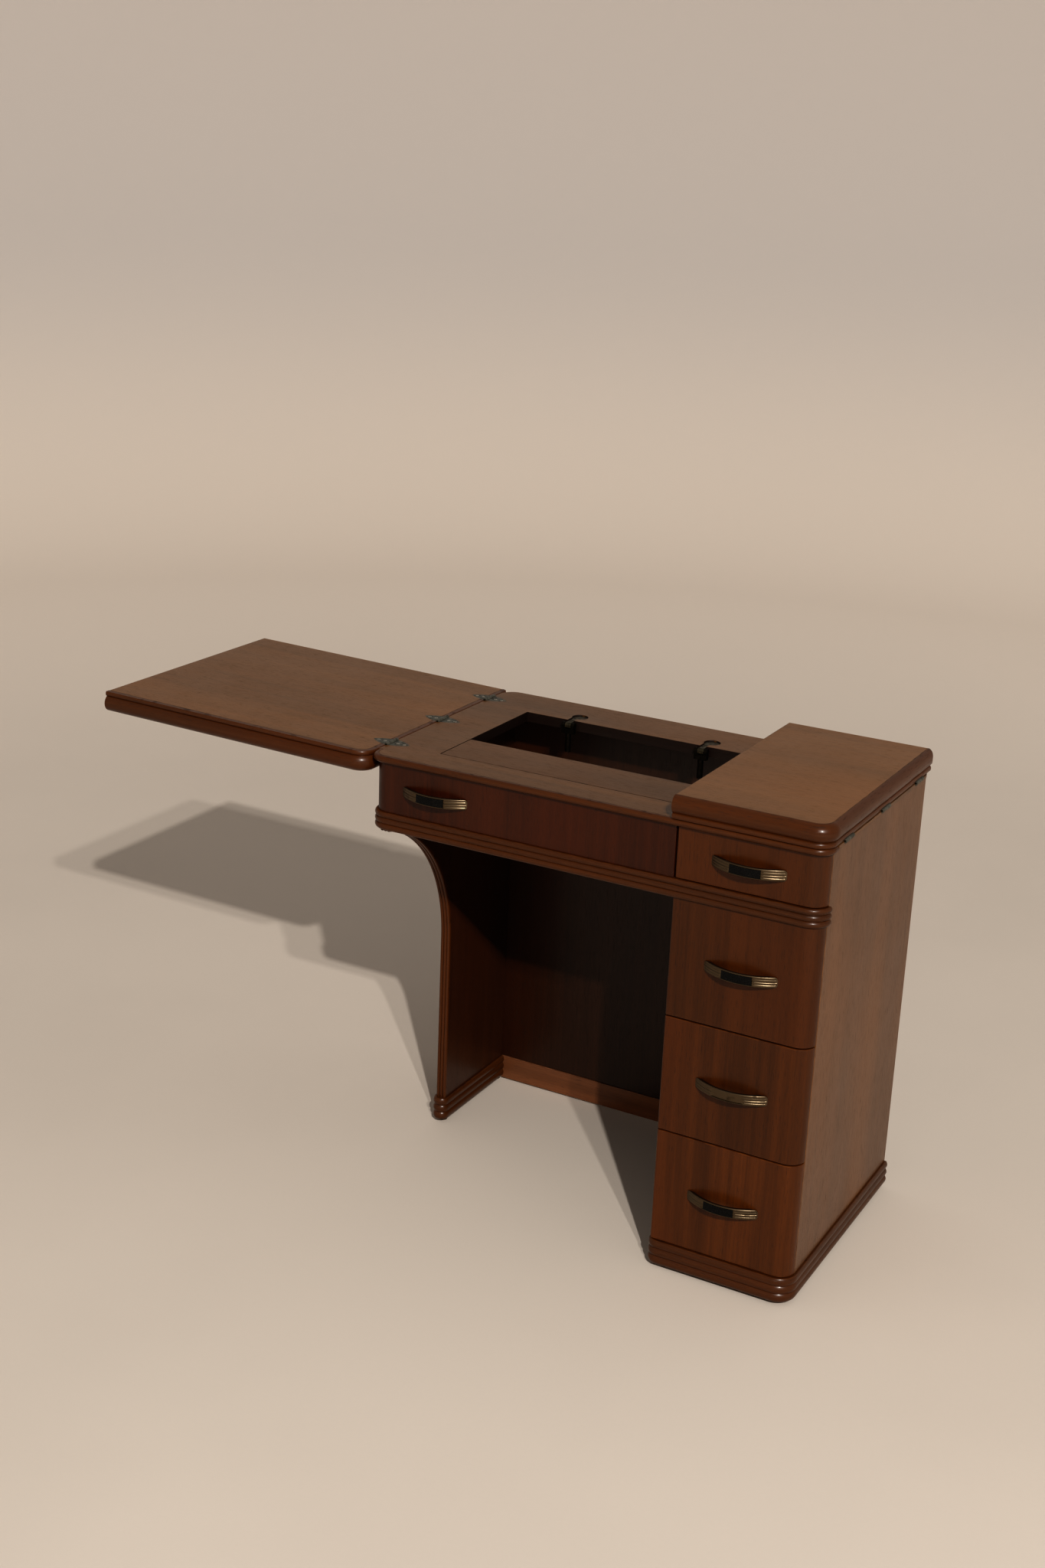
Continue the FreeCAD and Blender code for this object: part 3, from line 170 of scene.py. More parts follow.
class Finish:
    """A material's nodes, with one short call for each kind that the finishes share."""

    def __init__(self, name):
        self.material = bpy.data.materials.new(name)
        self.material.use_nodes = True
        self.tree = self.material.node_tree
        self.shader = self.tree.nodes["Principled BSDF"]
        self.place = self.node("ShaderNodeTexCoord").outputs["Object"]

    def node(self, kind, **settings):
        made = self.tree.nodes.new(kind)
        for key, value in settings.items():
            setattr(made, key, value)
        return made

    def feed(self, socket, value):
        """Links value to the socket if it is another node's output, and sets it otherwise."""
        if isinstance(value, bpy.types.NodeSocket):
            self.tree.links.new(value, socket)
        elif socket.type == "RGBA" and len(value) == 3:
            socket.default_value = (*value, 1.0)
        else:
            socket.default_value = value

    def set(self, **values):
        """Sets or links the shader's own sockets: spaces in their names are written as _."""
        for key, value in values.items():
            self.feed(self.shader.inputs[key.replace("_", " ")], value)

    def stretched(self, scale, shift=(0.0, 0.0, 0.0)):
        made = self.node("ShaderNodeMapping")
        self.feed(made.inputs["Vector"], self.place)
        made.inputs["Scale"].default_value = scale
        made.inputs["Location"].default_value = shift
        return made.outputs["Vector"]

    def noise(self, vector, scale=1.0, detail=2.0, roughness=0.5, distortion=0.0):
        made = self.node("ShaderNodeTexNoise")
        self.feed(made.inputs["Vector"], vector)
        for key, value in (
            ("Scale", scale),
            ("Detail", detail),
            ("Roughness", roughness),
            ("Distortion", distortion),
        ):
            made.inputs[key].default_value = value
        return made.outputs["Fac"]

    def between(self, value, low, high, out_low=0.0, out_high=1.0):
        """Value stretched so that low gives out_low and high gives out_high, and no further."""
        made = self.node("ShaderNodeMapRange", interpolation_type="SMOOTHSTEP")
        self.feed(made.inputs["Value"], value)
        for key, number in (
            ("From Min", low),
            ("From Max", high),
            ("To Min", out_low),
            ("To Max", out_high),
        ):
            made.inputs[key].default_value = number
        return made.outputs["Result"]

    def sum(self, *terms):
        """The sum of value times weight over the (value, weight) terms."""
        total = None
        for value, weight in terms:
            made = self.node("ShaderNodeMath", operation="MULTIPLY_ADD")
            self.feed(made.inputs[0], value)
            made.inputs[1].default_value = weight
            self.feed(made.inputs[2], 0.0 if total is None else total)
            total = made.outputs["Value"]
        return total

    def times(self, first, second):
        made = self.node("ShaderNodeMath", operation="MULTIPLY")
        self.feed(made.inputs[0], first)
        self.feed(made.inputs[1], second)
        return made.outputs["Value"]

    def mix(self, share, first, second, blend="MIX"):
        made = self.node("ShaderNodeMix", data_type="RGBA", blend_type=blend)
        self.feed(made.inputs["Factor"], share)
        self.feed(made.inputs[6], first)
        self.feed(made.inputs[7], second)
        return made.outputs[2]

    def ramp(self, value, stops):
        made = self.node("ShaderNodeValToRGB")
        self.feed(made.inputs["Fac"], value)
        ramp = made.color_ramp
        while len(ramp.elements) < len(stops):
            ramp.elements.new(0.5)
        for element, (position, colour) in zip(ramp.elements, stops):
            element.position = position
            element.color = (*colour, 1.0)
        return made.outputs["Color"]

    def bump(self, height, distance, strength=1.0):
        made = self.node("ShaderNodeBump")
        self.feed(made.inputs["Height"], height)
        made.inputs["Distance"].default_value = distance
        made.inputs["Strength"].default_value = strength
        self.feed(self.shader.inputs["Normal"], made.outputs["Normal"])

    def edge(self):
        """1 on the rounded edges that soften() makes, and 0 elsewhere."""
        return self.node("ShaderNodeAttribute", attribute_name="edge").outputs["Fac"]


def shade(colour, factor):
    return tuple(channel * factor for channel in colour)


def tint(colour, gains):
    return tuple(channel * gain for channel, gain in zip(colour, gains))


def grain_scale(along, across, lengthwise):
    """Texture scale per axis: lengthwise along the named axes, across on the others."""
    return tuple(lengthwise if axis in along else across for axis in "xyz")


# texture scales of walnut as (across the grain, along the grain), per metre
FIGURE = (17.0, 0.55)
RIBBON = (62.0, 1.1)
STREAK = (260.0, 4.5)
FINE_GRAIN = (1100.0, 26.0)
PORES = (1500.0, 55.0)
GLOW = (5.0, 1.6)
RUBBING = (55.0, 55.0, 55.0)
HANDLING = (9.0, 9.0, 9.0)
GRAIN_SPREAD = 0.16
GRAIN_SHADE = 0.42
GLOW_SHARE = 0.45
PORE_SHARE = 0.55
PORE_SHADE = 0.38
WARM = (1.5, 1.3, 0.8)
RUBBED = (2.3, 2.6, 3.0)


def wood(name, along, tone, seed, contrast=1.0, edge_look=0.35, rough=0.33, edges=None):
    """Stained and lacquered walnut whose figure, streaks and pores run along the named axes."""
    f = Finish(name)
    shift = (seed * 3.1, seed * 5.3, seed * 7.7)

    def grained(scale, **shape):
        return f.noise(f.stretched(grain_scale(along, *scale), shift), **shape)

    figure = grained(FIGURE, detail=2.0, distortion=0.35)
    ribbon = grained(RIBBON, detail=3.0, distortion=0.25)
    streak = grained(STREAK, detail=4.0, roughness=0.62)
    fine = grained(FINE_GRAIN, detail=3.0, roughness=0.6)
    pore = f.between(grained(PORES, detail=1.0), 0.60, 0.70)
    value = f.sum((figure, 0.34), (ribbon, 0.28), (streak, 0.26), (fine, 0.12))
    spread = GRAIN_SPREAD / contrast
    grain = f.between(value, 0.5 - spread, 0.5 + spread)
    step = GRAIN_SHADE * contrast
    body = f.ramp(grain, ((0.0, shade(tone, 1 - step)), (0.5, tone), (1.0, shade(tone, 1 + step))))
    glow = f.between(grained(GLOW, detail=1.0), 0.42, 0.68)
    mixed = f.mix(GLOW_SHARE, body, f.mix(glow, body, tint(tone, WARM)))
    pored = f.mix(f.times(pore, PORE_SHARE), mixed, shade(tone, PORE_SHADE))
    # edge mark: lighter rubbed wear on most woods; where edges is given, as on the tops, the
    # rounded edges are painted dark instead, painted shade in the seams and grooves with uneven
    # rubbed spots
    rubbing_and_shade_spots = f.between(f.noise(f.stretched(RUBBING, shift), detail=3.0), 0.42, 0.62)
    rubbing_and_shade_spots = f.sum((rubbing_and_shade_spots, 0.6), (1.0, 0.4)) if edges else rubbing_and_shade_spots
    wear_and_edge_shade = f.times(f.times(f.edge(), rubbing_and_shade_spots), edge_look)
    handling = f.noise(f.stretched(HANDLING, shift), detail=4.0, roughness=0.65)
    f.set(
        Base_Color=f.mix(wear_and_edge_shade, pored, edges or tint(tone, RUBBED)),
        Roughness=f.sum(
            (handling, 0.16),
            (pore, 0.18),
            (fine, 0.05),
            (wear_and_edge_shade, 0.25),
            (1.0, rough - 0.10),
        ),
        Specular_IOR_Level=0.32,
        Coat_Weight=0.07,
        Coat_Roughness=0.13,
    )
    f.bump(f.sum((pore, -0.8), (fine, 0.25), (streak, 0.3), (handling, 0.6)), 0.00012, 0.55)
    return f.material


def bare_timber(name, along, tone, seed):
    """Unfinished hardwood and plywood inside: matt, with saw marks and grey handling dirt."""
    f = Finish(name)
    shift = (seed * 2.3, seed * 4.1, seed * 6.7)
    figure = f.noise(f.stretched(grain_scale(along, 30.0, 1.2), shift), detail=3.0, distortion=0.6)
    streak = f.noise(f.stretched(grain_scale(along, 420.0, 9.0), shift), detail=3.0)
    smudge = f.noise(f.stretched((7.0, 7.0, 7.0), shift), detail=5.0, roughness=0.6)
    dirt = f.between(smudge, 0.38, 0.75)
    grain = f.between(f.sum((figure, 0.6), (streak, 0.4)), 0.36, 0.64)
    body = f.ramp(grain, ((0.0, shade(tone, 0.62)), (0.5, tone), (1.0, shade(tone, 1.25))))
    f.set(
        Base_Color=f.mix(f.times(dirt, 0.35), body, shade(tone, 0.45)),
        Roughness=f.sum((streak, 0.2), (1.0, 0.62)),
        Specular_IOR_Level=0.3,
    )
    f.bump(f.sum((streak, 0.8), (figure, 0.4)), 0.00025, 0.6)
    return f.material


def metal(name, tone, dull, rough, tarnish, scale, metallic=1.0, pits=0.3):
    """Metal of one tone with patches of tarnish towards dull, fine scratches and small pits."""
    f = Finish(name)
    cloud = f.noise(f.stretched((scale,) * 3), detail=6.0, roughness=0.62)
    patch = f.between(cloud, 0.60 - tarnish * 0.35, 0.72)
    scratch = f.noise(f.stretched((140.0, 900.0, 2600.0)), detail=2.0)
    pit = f.between(f.noise(f.stretched((1900.0,) * 3), detail=2.0), 0.62, 0.70)
    edge_look = f.mix(f.edge(), dull, shade(tone, 1.1))
    f.set(
        Base_Color=f.mix(patch, tone, edge_look),
        Metallic=metallic,
        Roughness=f.sum((patch, 0.22), (scratch, 0.12), (pit, 0.15), (1.0, rough - 0.06)),
    )
    f.bump(f.sum((scratch, 0.25), (pit, -pits), (patch, -0.3)), 0.00008, 0.6)
    return f.material


SLIP_BLACK = (0.004, 0.004, 0.004)
SLIP_DUST = (0.020, 0.018, 0.016)


def black_gloss(name):
    """Black glass-like slip with faint hairline scratches and dust."""
    f = Finish(name)
    hair = f.between(f.noise(f.stretched((60.0, 1500.0, 2200.0)), detail=2.0), 0.62, 0.70)
    dust = f.noise(f.stretched((500.0,) * 3), detail=4.0)
    f.set(
        Base_Color=f.mix(f.between(dust, 0.5, 0.8, 0.0, 0.4), SLIP_BLACK, SLIP_DUST),
        Roughness=f.sum((hair, 0.2), (dust, 0.2), (1.0, 0.08)),
        Specular_IOR_Level=0.12,
        Coat_Weight=0.08,
        Coat_Roughness=0.06,
    )
    f.bump(f.sum((hair, -0.6), (dust, 0.2)), 0.00003, 0.4)
    return f.material


# distances from the key light over which the painted shade near the lamp fades and the paper comes
# up to its full tone
LIT_FROM = 2.5
LIT_TO = 7.5
NEAR_LAMP_SHADE = 0.12
PLAIN_FLOOR = 1.2


def studio_paper(name, tone):
    """Pale matt floor, faintly cloudy, evened out with painted light where it lies far from the
    lamps and painted shade where it lies close to the key lamp.
    """
    f = Finish(name)
    cloud = f.noise(f.stretched((0.9,) * 3), detail=4.0)
    grit = f.noise(f.stretched((160.0,) * 3), detail=3.0)
    mark = f.sum((f.between(cloud, 0.35, 0.65), 0.7), (grit, 0.3))
    paper = f.mix(mark, shade(tone, 0.965), shade(tone, 1.03))
    from_middle = f.node("ShaderNodeVectorMath", operation="LENGTH")
    f.feed(from_middle.inputs[0], f.place)
    parts = f.node("ShaderNodeSeparateXYZ")
    f.feed(parts.inputs["Vector"], f.place)
    far = f.between(from_middle.outputs["Value"], PLAIN_FLOOR, STAGE_FLAT)
    raised = f.between(parts.outputs["Z"], 0.0, STAGE_CURVE / 2)
    # painted light: away from the middle the floor is painted lighter, and the backdrop lighter
    # and cooler
    flat = f.mix(far, paper, shade(tone, FAR_FLOOR_PAINTED_LIGHT))
    wall = tint(tone, WALL_PAINTED_LIGHT)
    lamp = polar(*LIGHTS[0][1:4], LIGHT_AIM)
    to_lamp = f.node("ShaderNodeVectorMath", operation="DISTANCE")
    f.feed(to_lamp.inputs[0], f.place)
    to_lamp.inputs[1].default_value = lamp
    # painted shade: the paper close to the key lamp is darkened towards NEAR_LAMP_SHADE of its
    # tone
    open_floor = f.between(to_lamp.outputs["Value"], LIT_FROM, LIT_TO)
    lit = f.mix(open_floor, shade(tone, NEAR_LAMP_SHADE), f.mix(raised, flat, wall))
    f.set(Base_Color=lit, Roughness=0.9, Specular_IOR_Level=0.15)
    f.bump(grit, 0.0002, 0.3)
    return f.material


# ---------------------------------------------------------------- meshes


def to_object(mesh, name, finish):
    data = bpy.data.meshes.new(name)
    mesh.to_mesh(data)
    mesh.free()
    data.materials.append(finish)
    made = bpy.data.objects.new(name, data)
    bpy.context.scene.collection.objects.link(made)
    return made


def even_shading(item):
    """Keeps big faces flat in shading beside their rounded edges."""
    modifier = item.modifiers.new("even_shading", "WEIGHTED_NORMAL")
    modifier.keep_sharp = True
    return item


SHARP = math.radians(34)
FLAT = math.radians(0.25)


# faces smaller than this count as hinge recesses and screw holes on a board that has them
SMALL_FEATURE = 3.0 * MM
BOARDS_WITH_RECESSES = ("main_top", "front_flap", "left_leaf_panel", "right_leaf_panel")


def reach(face, edge):
    """How far a face stretches away from one of its edges."""
    start = edge.verts[0].co
    along = (edge.verts[1].co - start).normalized()
    return max((vert.co - start).cross(along).length for vert in face.verts)


def soften(node, finish, width):
    """Stands a copy of a CAD node in its place, its outside edges rounded by width millimetres."""
    recessed = node in BOARDS_WITH_RECESSES
    mesh = bmesh.new()
    mesh.from_mesh(NODES[node].data)
    bmesh.ops.remove_doubles(mesh, verts=mesh.verts, dist=0.002 * MM)
    bmesh.ops.dissolve_limit(mesh, angle_limit=FLAT, verts=mesh.verts, edges=mesh.edges)
    edge_mark = mesh.faces.layers.float.new("edge")
    mesh.normal_update()
    corners = []
    for edge in mesh.edges:
        if len(edge.link_faces) != 2 or edge.calc_face_angle_signed(0.0) < SHARP:
            continue
        if not recessed or min(reach(face, edge) for face in edge.link_faces) > SMALL_FEATURE:
            corners.append(edge)
    made = bmesh.ops.bevel(
        mesh,
        geom=corners,
        offset=width * MM,
        offset_type="OFFSET",
        segments=2,
        profile=0.5,
        affect="EDGES",
        clamp_overlap=not recessed,
    )
    for face in made["faces"]:
        face[edge_mark] = 1.0
    smooth_by_angle(mesh)
    item = even_shading(to_object(mesh, f"{node}_finished", finish))
    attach(item, NODES[node]["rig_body"])
    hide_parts(node)
    return item


def repaint(item, finish, low, high):
    """Gives a second finish to the upright faces of item that lie between two corners."""
    item.data.materials.append(finish)
    for face in item.data.polygons:
        inside = all(low[axis] <= face.center[axis] <= high[axis] for axis in range(3))
        if inside and abs(face.normal.z) < 0.5:
            face.material_index = len(item.data.materials) - 1


def smooth_by_angle(mesh):
    mesh.normal_update()
    for face in mesh.faces:
        face.smooth = True
    for edge in mesh.edges:
        edge.smooth = len(edge.link_faces) == 2 and edge.calc_face_angle(0.0) < SHARP


def islands(node):
    """The (lowest corner, highest corner) of each separate solid of a CAD node."""
    mesh = bmesh.new()
    mesh.from_mesh(NODES[node].data)
    bmesh.ops.remove_doubles(mesh, verts=mesh.verts, dist=0.002 * MM)
    left = set(mesh.verts)
    boxes = []
    while left:
        group, edge_of_group = set(), [left.pop()]
        while edge_of_group:
            vert = edge_of_group.pop()
            group.add(vert)
            for edge in vert.link_edges:
                other = edge.other_vert(vert)
                if other in left:
                    left.discard(other)
                    edge_of_group.append(other)
        points = [vert.co for vert in group]
        low = Vector([min(point[axis] for point in points) for axis in range(3)])
        high = Vector([max(point[axis] for point in points) for axis in range(3)])
        boxes.append((low, high))
    mesh.free()
    return sorted(boxes, key=lambda pair: tuple(round(value, 4) for value in pair[0]))


def loft(mesh, rings):
    """Joins closed rings of equally many points with quads."""
    made = [[mesh.verts.new(point) for point in ring] for ring in rings]
    count = len(rings[0])
    for first, second in zip(made, made[1:]):
        for i in range(count):
            after = (i + 1) % count
            mesh.faces.new((first[i], first[after], second[after], second[i]))
    return made


# ---------------------------------------------------------------- pulls

PULL_STATIONS = 72
PULL_BEADS = 4
PULL_BEAD_PITCH = 4.15 * MM
PULL_BEAD_DEPTH = 0.75 * MM
STEPS_PER_BEAD = 10
PULL_FLAT = 0.4
PULL_END_RADIUS = 5.0 * MM
PULL_FOOT = 10.0 * MM
BEAD_FADE = PULL_FOOT / 3
PULL_METAL = 4.5 * MM
PULL_EDGE = 0.8 * MM
SLIP_LENGTH = 48.0 * MM
SLIP_HEIGHT = 13.0 * MM
SLIP_DEPTH = 0.7 * MM


def arc_radius(chord, rise):
    return (chord * chord / 4 + rise * rise) / (2 * rise)


def bead_relief(height):
    """How deep the face lies under its crown at that height above the pull's middle."""
    if abs(height) > PULL_BEADS * PULL_BEAD_PITCH / 2:
        return PULL_BEAD_DEPTH * PULL_FLAT
    across = (height / PULL_BEAD_PITCH + PULL_BEADS / 2) % 1.0
    return PULL_BEAD_DEPTH * (1 - math.sqrt(max(0.0, 1 - (2 * across - 1) ** 2)))


def pull_ring(share, half_height, bow, inner_bow, length, inner_length):
    """One section of the bow: points round it, as (x, out, z) from the middle of its foot line."""
    outer = arc_radius(length, bow)
    inner = arc_radius(inner_length, inner_bow)
    turn = share * math.asin(length / 2 / outer)
    inner_turn = share * math.asin(inner_length / 2 / inner)
    normal = Vector((math.sin(turn), math.cos(turn)))
    face = Vector((0.0, bow - outer)) + normal * outer
    back = Vector((math.sin(inner_turn) * inner, math.cos(inner_turn) * inner + inner_bow - inner))
    face.y = max(face.y, 0.0)
    back.y = max(back.y, 0.0)
    from_end = (1 - abs(share)) * outer * math.asin(length / 2 / outer)
    short = max(0.0, PULL_END_RADIUS - from_end)
    half = half_height - (PULL_END_RADIUS - math.sqrt(PULL_END_RADIUS**2 - short**2))
    steps = PULL_BEADS * STEPS_PER_BEAD
    points = []
    for i in range(steps + 1):
        height = half * (1 - 2 * i / steps)
        inset = bead_relief(height)
        to_edge = half - abs(height)
        if to_edge < PULL_EDGE:
            inset += PULL_EDGE - math.sqrt(PULL_EDGE**2 - (PULL_EDGE - to_edge) ** 2)
        if abs(face.x) < SLIP_LENGTH / 2 and abs(height) < SLIP_HEIGHT / 2:
            inset = PULL_BEAD_DEPTH + SLIP_DEPTH
        place = face - normal * inset * min(1.0, from_end / BEAD_FADE)
        points.append(Vector((place.x, max(place.y, 0.0), height)))
    for height in (-half, -half * 0.5, half * 0.5, half):
        side = PULL_EDGE if abs(height) == half else 0.0
        place = back + normal * side * 0.5
        points.append(Vector((place.x, max(place.y, 0.0), height)))
    return points


def make_pull(node, finish, body):
    """Bow-shaped pull with beads along its face and a sunk bed for the dark slip."""
    low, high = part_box(node)
    middle = (low + high) / 2
    length, bow, height = high.x - low.x, high.y - low.y, high.z - low.z
    shares = sorted(
        {math.sin(math.pi / 2 * (2 * i / PULL_STATIONS - 1)) for i in range(PULL_STATIONS + 1)}
    )
    mesh = bmesh.new()
    rings = []
    for share in shares:
        ring = pull_ring(share, height / 2, bow, bow - PULL_METAL, length, length - 2 * PULL_FOOT)
        rings.append([Vector((middle.x + p.x, high.y - p.y, middle.z + p.z)) for p in ring])
    made = loft(mesh, rings)
    for ring in (made[0], made[-1]):
        mesh.faces.new(ring)
    bmesh.ops.recalc_face_normals(mesh, faces=mesh.faces)
    mesh.faces.layers.float.new("edge")
    smooth_by_angle(mesh)
    item = to_object(mesh, f"{node}_finished", finish)
    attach(item, body)
    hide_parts(node)
    return item


# ---------------------------------------------------------------- screws

SCREW_HEAD = 2.9 * MM
SCREW_SHANK = 1.4 * MM
SCREW_SINK = 1.5 * MM
SLOT_WIDTH = 0.75 * MM
SLOT_DEPTH = 0.8 * MM
SCREW_SIDES = 20
SCREW_CROWN = 0.8
SCREW_TAPER = 0.85
SCREW_TIP = 0.2


def disc(radius, height):
    turns = [math.tau * i / SCREW_SIDES for i in range(SCREW_SIDES)]
    return [Vector((radius * math.cos(turn), radius * math.sin(turn), height)) for turn in turns]


def screw_mesh(mesh, place, up, slot_turn, length):
    """A slotted countersunk screw with its head's rim at place; up is 1 if the head looks up."""
    turn = Matrix.Rotation(slot_turn, 4, "Z")
    flip = Matrix.Scale(up, 4, Vector((0, 0, 1)))
    move = Matrix.Translation(place) @ flip @ turn
    start = len(mesh.verts)
    half = SLOT_WIDTH / 2
    opening = math.asin(half / SCREW_HEAD)
    for side in (0.0, math.pi):
        outline = []
        for i in range(SCREW_SIDES // 2 + 1):
            angle = side + opening + (math.pi - 2 * opening) * i / (SCREW_SIDES // 2)
            outline.append(Vector((math.cos(angle), math.sin(angle), 0.0)))
        crown = [p * SCREW_HEAD * SCREW_CROWN for p in outline]
        for point in crown:
            point.y = math.copysign(max(abs(point.y), half), math.sin(side + 1.0))
        rim = [p * SCREW_HEAD for p in outline]
        foot = [p * (SCREW_HEAD - SLOT_DEPTH) - Vector((0.0, 0.0, SLOT_DEPTH)) for p in outline]
        for point in foot:
            point.y = math.copysign(max(abs(point.y), half), math.sin(side + 1.0))
        rings = loft(mesh, [crown, rim, foot])
        mesh.faces.new(rings[0])
        mesh.faces.new(rings[-1])
    cone = [
        disc(SCREW_HEAD - SLOT_DEPTH, -SLOT_DEPTH),
        disc(SCREW_SHANK, -SCREW_SINK),
        disc(SCREW_SHANK, -length * SCREW_TAPER),
        disc(SCREW_SHANK * SCREW_TIP, -length),
    ]
    rings = loft(mesh, cone)
    mesh.faces.new(rings[0])
    mesh.faces.new(rings[-1])
    mesh.verts.ensure_lookup_table()
    for vert in mesh.verts[start:]:
        vert.co = move @ vert.co


def make_screws(node, up, finish, chance):
    """Slotted screws in place of a CAD node's plain ones, each slot stopped at its own angle."""
    mesh = bmesh.new()
    for low, high in islands(node):
        middle = (low + high) / 2
        rim = Vector((middle.x, middle.y, high.z if up > 0 else low.z))
        screw_mesh(mesh, rim, up, chance.uniform(0.0, math.pi), high.z - low.z)
    bmesh.ops.recalc_face_normals(mesh, faces=mesh.faces)
    mesh.faces.layers.float.new("edge")
    smooth_by_angle(mesh)
    item = to_object(mesh, f"{node}_finished", finish)
    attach(item, NODES[node]["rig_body"])
    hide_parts(node)
    return item


# ---------------------------------------------------------------- the table

TOP_TONE = (0.146, 0.0640, 0.0188)
FRONT_TONE = (0.036, 0.0073, 0.0009)
DRAWER_TONE = (0.050, 0.0142, 0.0018)
# painted sheen: lighter and greyer than the fronts' tones, for the pale sheen on the right side
# panel
SIDE_TONE_AND_SHEEN = (0.121, 0.055, 0.0225)
END_TONE = (0.044, 0.0145, 0.0050)
RAIL_TONE = (0.135, 0.0560, 0.0260)
MOULDING_TONE = (0.060, 0.0185, 0.0034)
KNEE_TONE = (0.025, 0.0080, 0.0028)
# painted shade: the dark colour given to the tops' rounded edges and seams
PAINTED_EDGE_SHADE = (0.016, 0.0065, 0.0030)
INSIDE_TONE = (0.235, 0.135, 0.066)
FLOOR_TONE = (0.60, 0.530, 0.462)
# dark stain and painted shade: the near black of the cut edges round the flap opening
CUT_STAIN_AND_SHADE = (0.010, 0.0036, 0.0016)

TOPS = (
    # key, tone, seed, contrast: grain along x, with painted shade on the rounded edges
    ("leaf_left", TOP_TONE, 1.0, 0.65),
    ("leaf_right", shade(TOP_TONE, 1.06), 2.0, 0.65),
    ("top", shade(TOP_TONE, 0.74), 3.0, 0.75),
    # painted shade: the flap is a darker copy of the leaves' tone
    ("flap", shade(TOP_TONE, 0.60), 3.4, 0.75),
)
UPRIGHTS = (
    # key, tone, seed, contrast: grain along z
    ("false_front", FRONT_TONE, 4.0, 1.0),
    ("drawer_1", shade(DRAWER_TONE, 1.05), 5.0, 0.9),
    ("drawer_2", DRAWER_TONE, 6.0, 0.9),
    ("drawer_3", shade(DRAWER_TONE, 1.20), 6.5, 0.9),
    ("drawer_4", shade(DRAWER_TONE, 1.50), 7.0, 0.9),
    # painted sheen on the side panel, carried by its tone
    ("side", SIDE_TONE_AND_SHEEN, 8.0, 0.55),
    ("end", END_TONE, 9.0, 0.8),
    ("knee", KNEE_TONE, 10.0, 0.8),
)
METALS = (
    # key, name, tone, tarnished tone, roughness, tarnish, scale of its patches, metallic
    ("hinge", "hinge_steel", (0.135, 0.130, 0.105), (0.050, 0.047, 0.037), 0.46, 0.6, 170.0, 0.6),
    ("screw", "plated_screw", (0.50, 0.47, 0.40), (0.12, 0.11, 0.09), 0.30, 0.4, 300.0),
    ("turned", "turned_steel", (0.024, 0.019, 0.013), (0.010, 0.008, 0.006), 0.5, 0.7, 160.0),
    ("cup", "machine_hinge_metal", (0.115, 0.095, 0.062), (0.035, 0.029, 0.019), 0.4, 0.6, 160.0),
    ("glide", "floor_glide_metal", (0.18, 0.15, 0.11), (0.06, 0.05, 0.04), 0.42, 0.6, 200.0),
)
PULL_TONE = (0.125, 0.093, 0.060)
PULL_TARNISH = (0.078, 0.056, 0.035)


def make_finishes():
    made = {
        "cut_edge": wood("stained_and_shaded_cut_edge", "xy", CUT_STAIN_AND_SHADE, 10.5, 0.6, rough=0.5),
        "rail": wood("walnut_rail", "x", RAIL_TONE, 11.0, 0.8),
        "moulding": wood("stained_moulding", "xy", MOULDING_TONE, 12.0, 0.8, edge_look=0.55),
        "reeding": wood("stained_reeding", "yz", MOULDING_TONE, 13.0, 0.8, edge_look=0.55),
        "pull": metal("dulled_brass", PULL_TONE, PULL_TARNISH, 0.31, 0.2, 60.0, pits=0.1),
        "slip": black_gloss("black_slip"),
    }
    for key, tone, seed, contrast in TOPS:
        made[key] = wood(f"walnut_{key}", "x", tone, seed, contrast, 0.9, edges=PAINTED_EDGE_SHADE)
    for key, tone, seed, contrast in UPRIGHTS:
        made[key] = wood(f"walnut_{key}", "z", tone, seed, contrast)
    for axis, seed in (("x", 14.0), ("y", 15.0), ("z", 16.0)):
        made[f"inside_{axis}"] = bare_timber(f"timber_along_{axis}", axis, INSIDE_TONE, seed)
    for key, *settings in METALS:
        made[key] = metal(*settings)
    return made


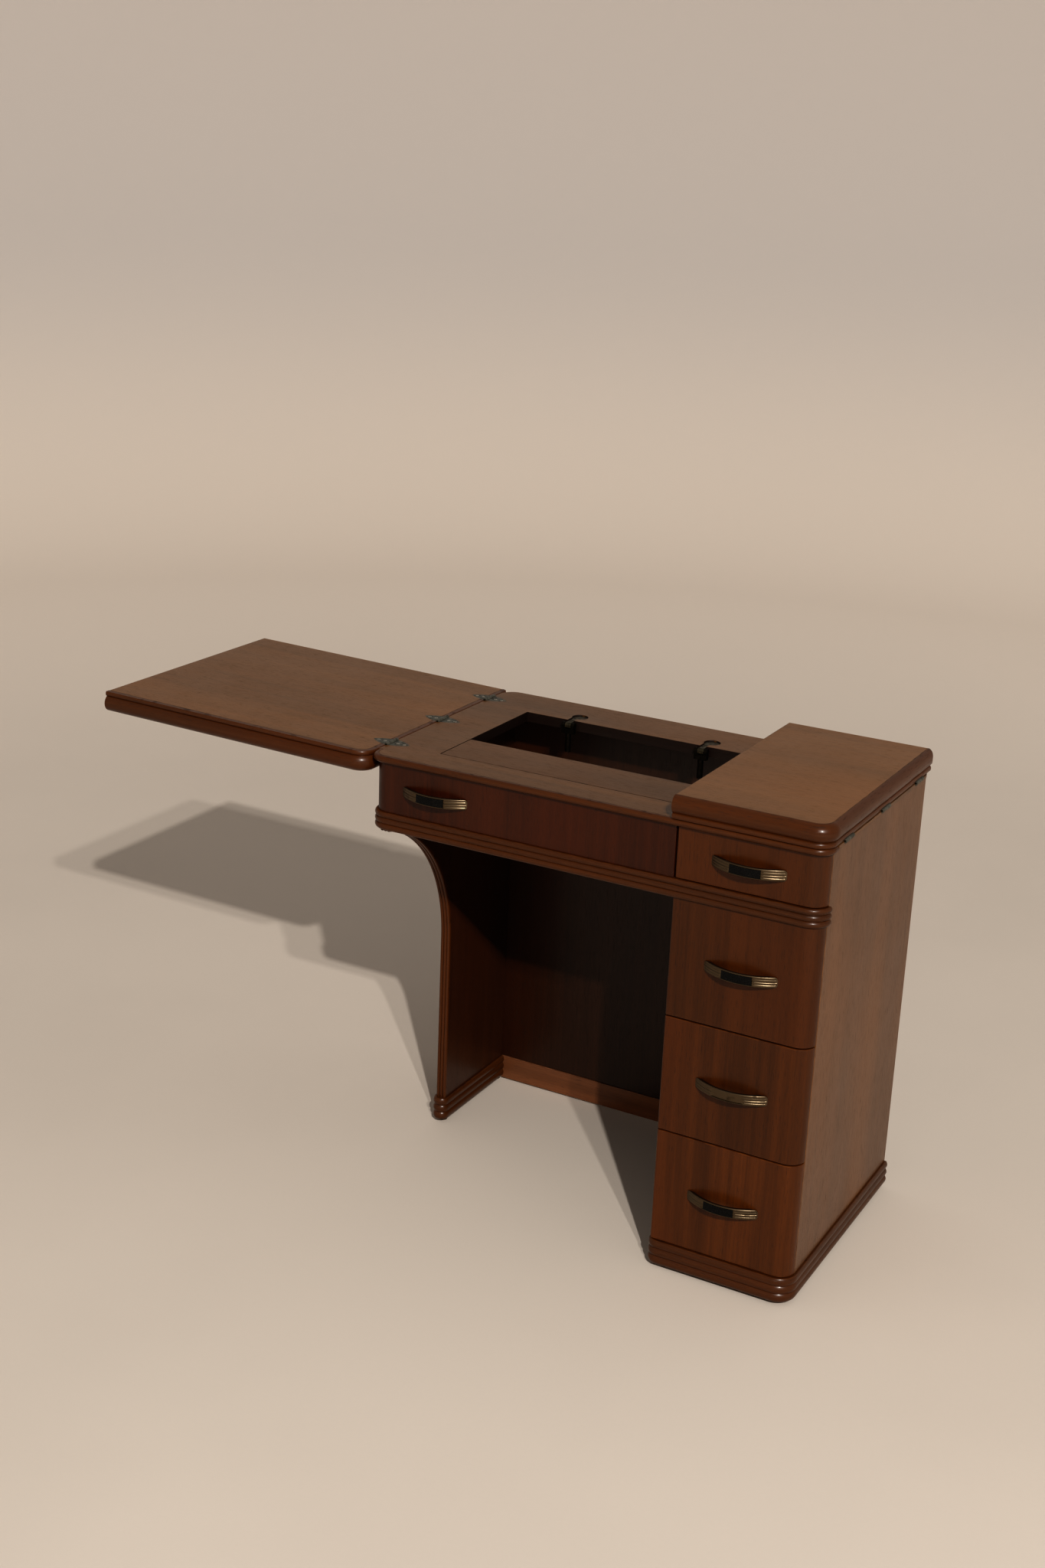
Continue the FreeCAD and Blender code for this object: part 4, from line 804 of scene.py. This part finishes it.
BOARDS = (
    # finish, slot, rounding in millimetres, nodes
    ("top", "walnut_veneer", 0.8, ("main_top",)),
    ("flap", "walnut_veneer", 1.0, ("front_flap",)),
    ("leaf_left", "walnut_veneer", 1.3, ("left_leaf_panel",)),
    ("leaf_right", "walnut_veneer", 1.3, ("right_leaf_panel",)),
    ("false_front", "walnut_veneer", 1.0, ("false_front",)),
    ("drawer_1", "walnut_veneer", 1.4, ("drawer_1_front",)),
    ("drawer_2", "walnut_veneer", 1.4, ("drawer_2_front",)),
    ("drawer_3", "walnut_veneer", 1.4, ("drawer_3_front",)),
    ("drawer_4", "walnut_veneer", 1.4, ("drawer_4_front",)),
    ("side", "walnut_veneer", 1.0, ("right_side_panel",)),
    ("end", "walnut_veneer", 0.6, ("left_end_panel",)),
    ("knee", "walnut_veneer", 0.6, ("knee_back_panel",)),
    ("rail", "walnut_veneer", 0.8, ("knee_back_rail", "front_rail")),
    ("knee", "inside_timber", 0.6, ("pedestal_left_side", "pedestal_back")),
    (
        "moulding",
        "stained_moulding",
        0.5,
        (
            "top_edge_bead",
            "left_leaf_roll",
            "right_leaf_roll",
            "band_moulding",
            "pedestal_base_moulding",
            "leg_base_moulding",
        ),
    ),
    ("reeding", "stained_moulding", 0.5, ("end_panel_reeding",)),
    ("inside_x", "inside_timber", 0.6, ("drawer_rails", "flap_ledges", "pedestal_bottom")),
    ("inside_z", "inside_timber", 0.6, ("glue_blocks",)),
    ("inside_y", "inside_timber", 0.6, ("drawer_runners",)),
    ("inside_y", "inside_timber", 0.6, tuple(f"drawer_{i}_box" for i in range(1, 5))),
    ("inside_x", "inside_timber", 0.3, tuple(f"drawer_{i}_bottom" for i in range(1, 5))),
    ("slip", "black_inlay", 0.35, ("false_front_pull_inlay",)),
    ("slip", "black_inlay", 0.35, tuple(f"drawer_{i}_pull_inlay" for i in (1, 2, 4))),
    ("hinge", "hinge_steel", 0.25, ("left_hinge_plates", "right_hinge_plates")),
    ("hinge", "hinge_steel", 0.25, ("left_leaf_hinge_plates", "right_leaf_hinge_plates")),
    ("cup", "hinge_steel", 0.3, ("machine_hinge_brackets",)),
    ("turned", "bright_steel", 0.25, ("hinge_pins", "flap_pivot_pins")),
    ("turned", "bright_steel", 0.4, ("machine_hinge_finger_left", "machine_hinge_finger_right")),
    ("glide", "plated_screws", 0.4, ("floor_glides",)),
)
PULLS = {
    "false_front_pull": "cabinet",
    "drawer_1_pull": "drawer_1",
    "drawer_2_pull": "drawer_2",
    "drawer_3_pull": "drawer_3",
    "drawer_4_pull": "drawer_4",
}
SCREW_SEED = 7
SCREWS = (("top_hinge_screws", 1), ("left_leaf_hinge_screws", 1), ("right_leaf_hinge_screws", -1))


def build():
    make_camera()
    make_lights()
    make_stage(studio_paper("studio_paper", FLOOR_TONE))
    finishes = make_finishes()
    for finish, slot, width, names in BOARDS:
        for name in names:
            soften(name, finishes[finish], width)
    flap_low, flap_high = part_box("front_flap")
    pin_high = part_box("machine_hinge_brackets")[1]
    margin = 2 * MM
    low = Vector((flap_low.x - margin, flap_low.y - margin, flap_low.z - margin))
    high = Vector((flap_high.x + margin, pin_high.y, flap_high.z + margin))
    # the upright cut edges round the flap opening get a near black tone: stain plus painted shade
    # in the opening
    repaint(bpy.data.objects["main_top_finished"], finishes["cut_edge"], low, high)
    for node, body in PULLS.items():
        make_pull(node, finishes["pull"], body)
    chance = random.Random(SCREW_SEED)
    for node, up in SCREWS:
        make_screws(node, up, finishes["screw"], chance)


build()
bpy.context.view_layer.update()
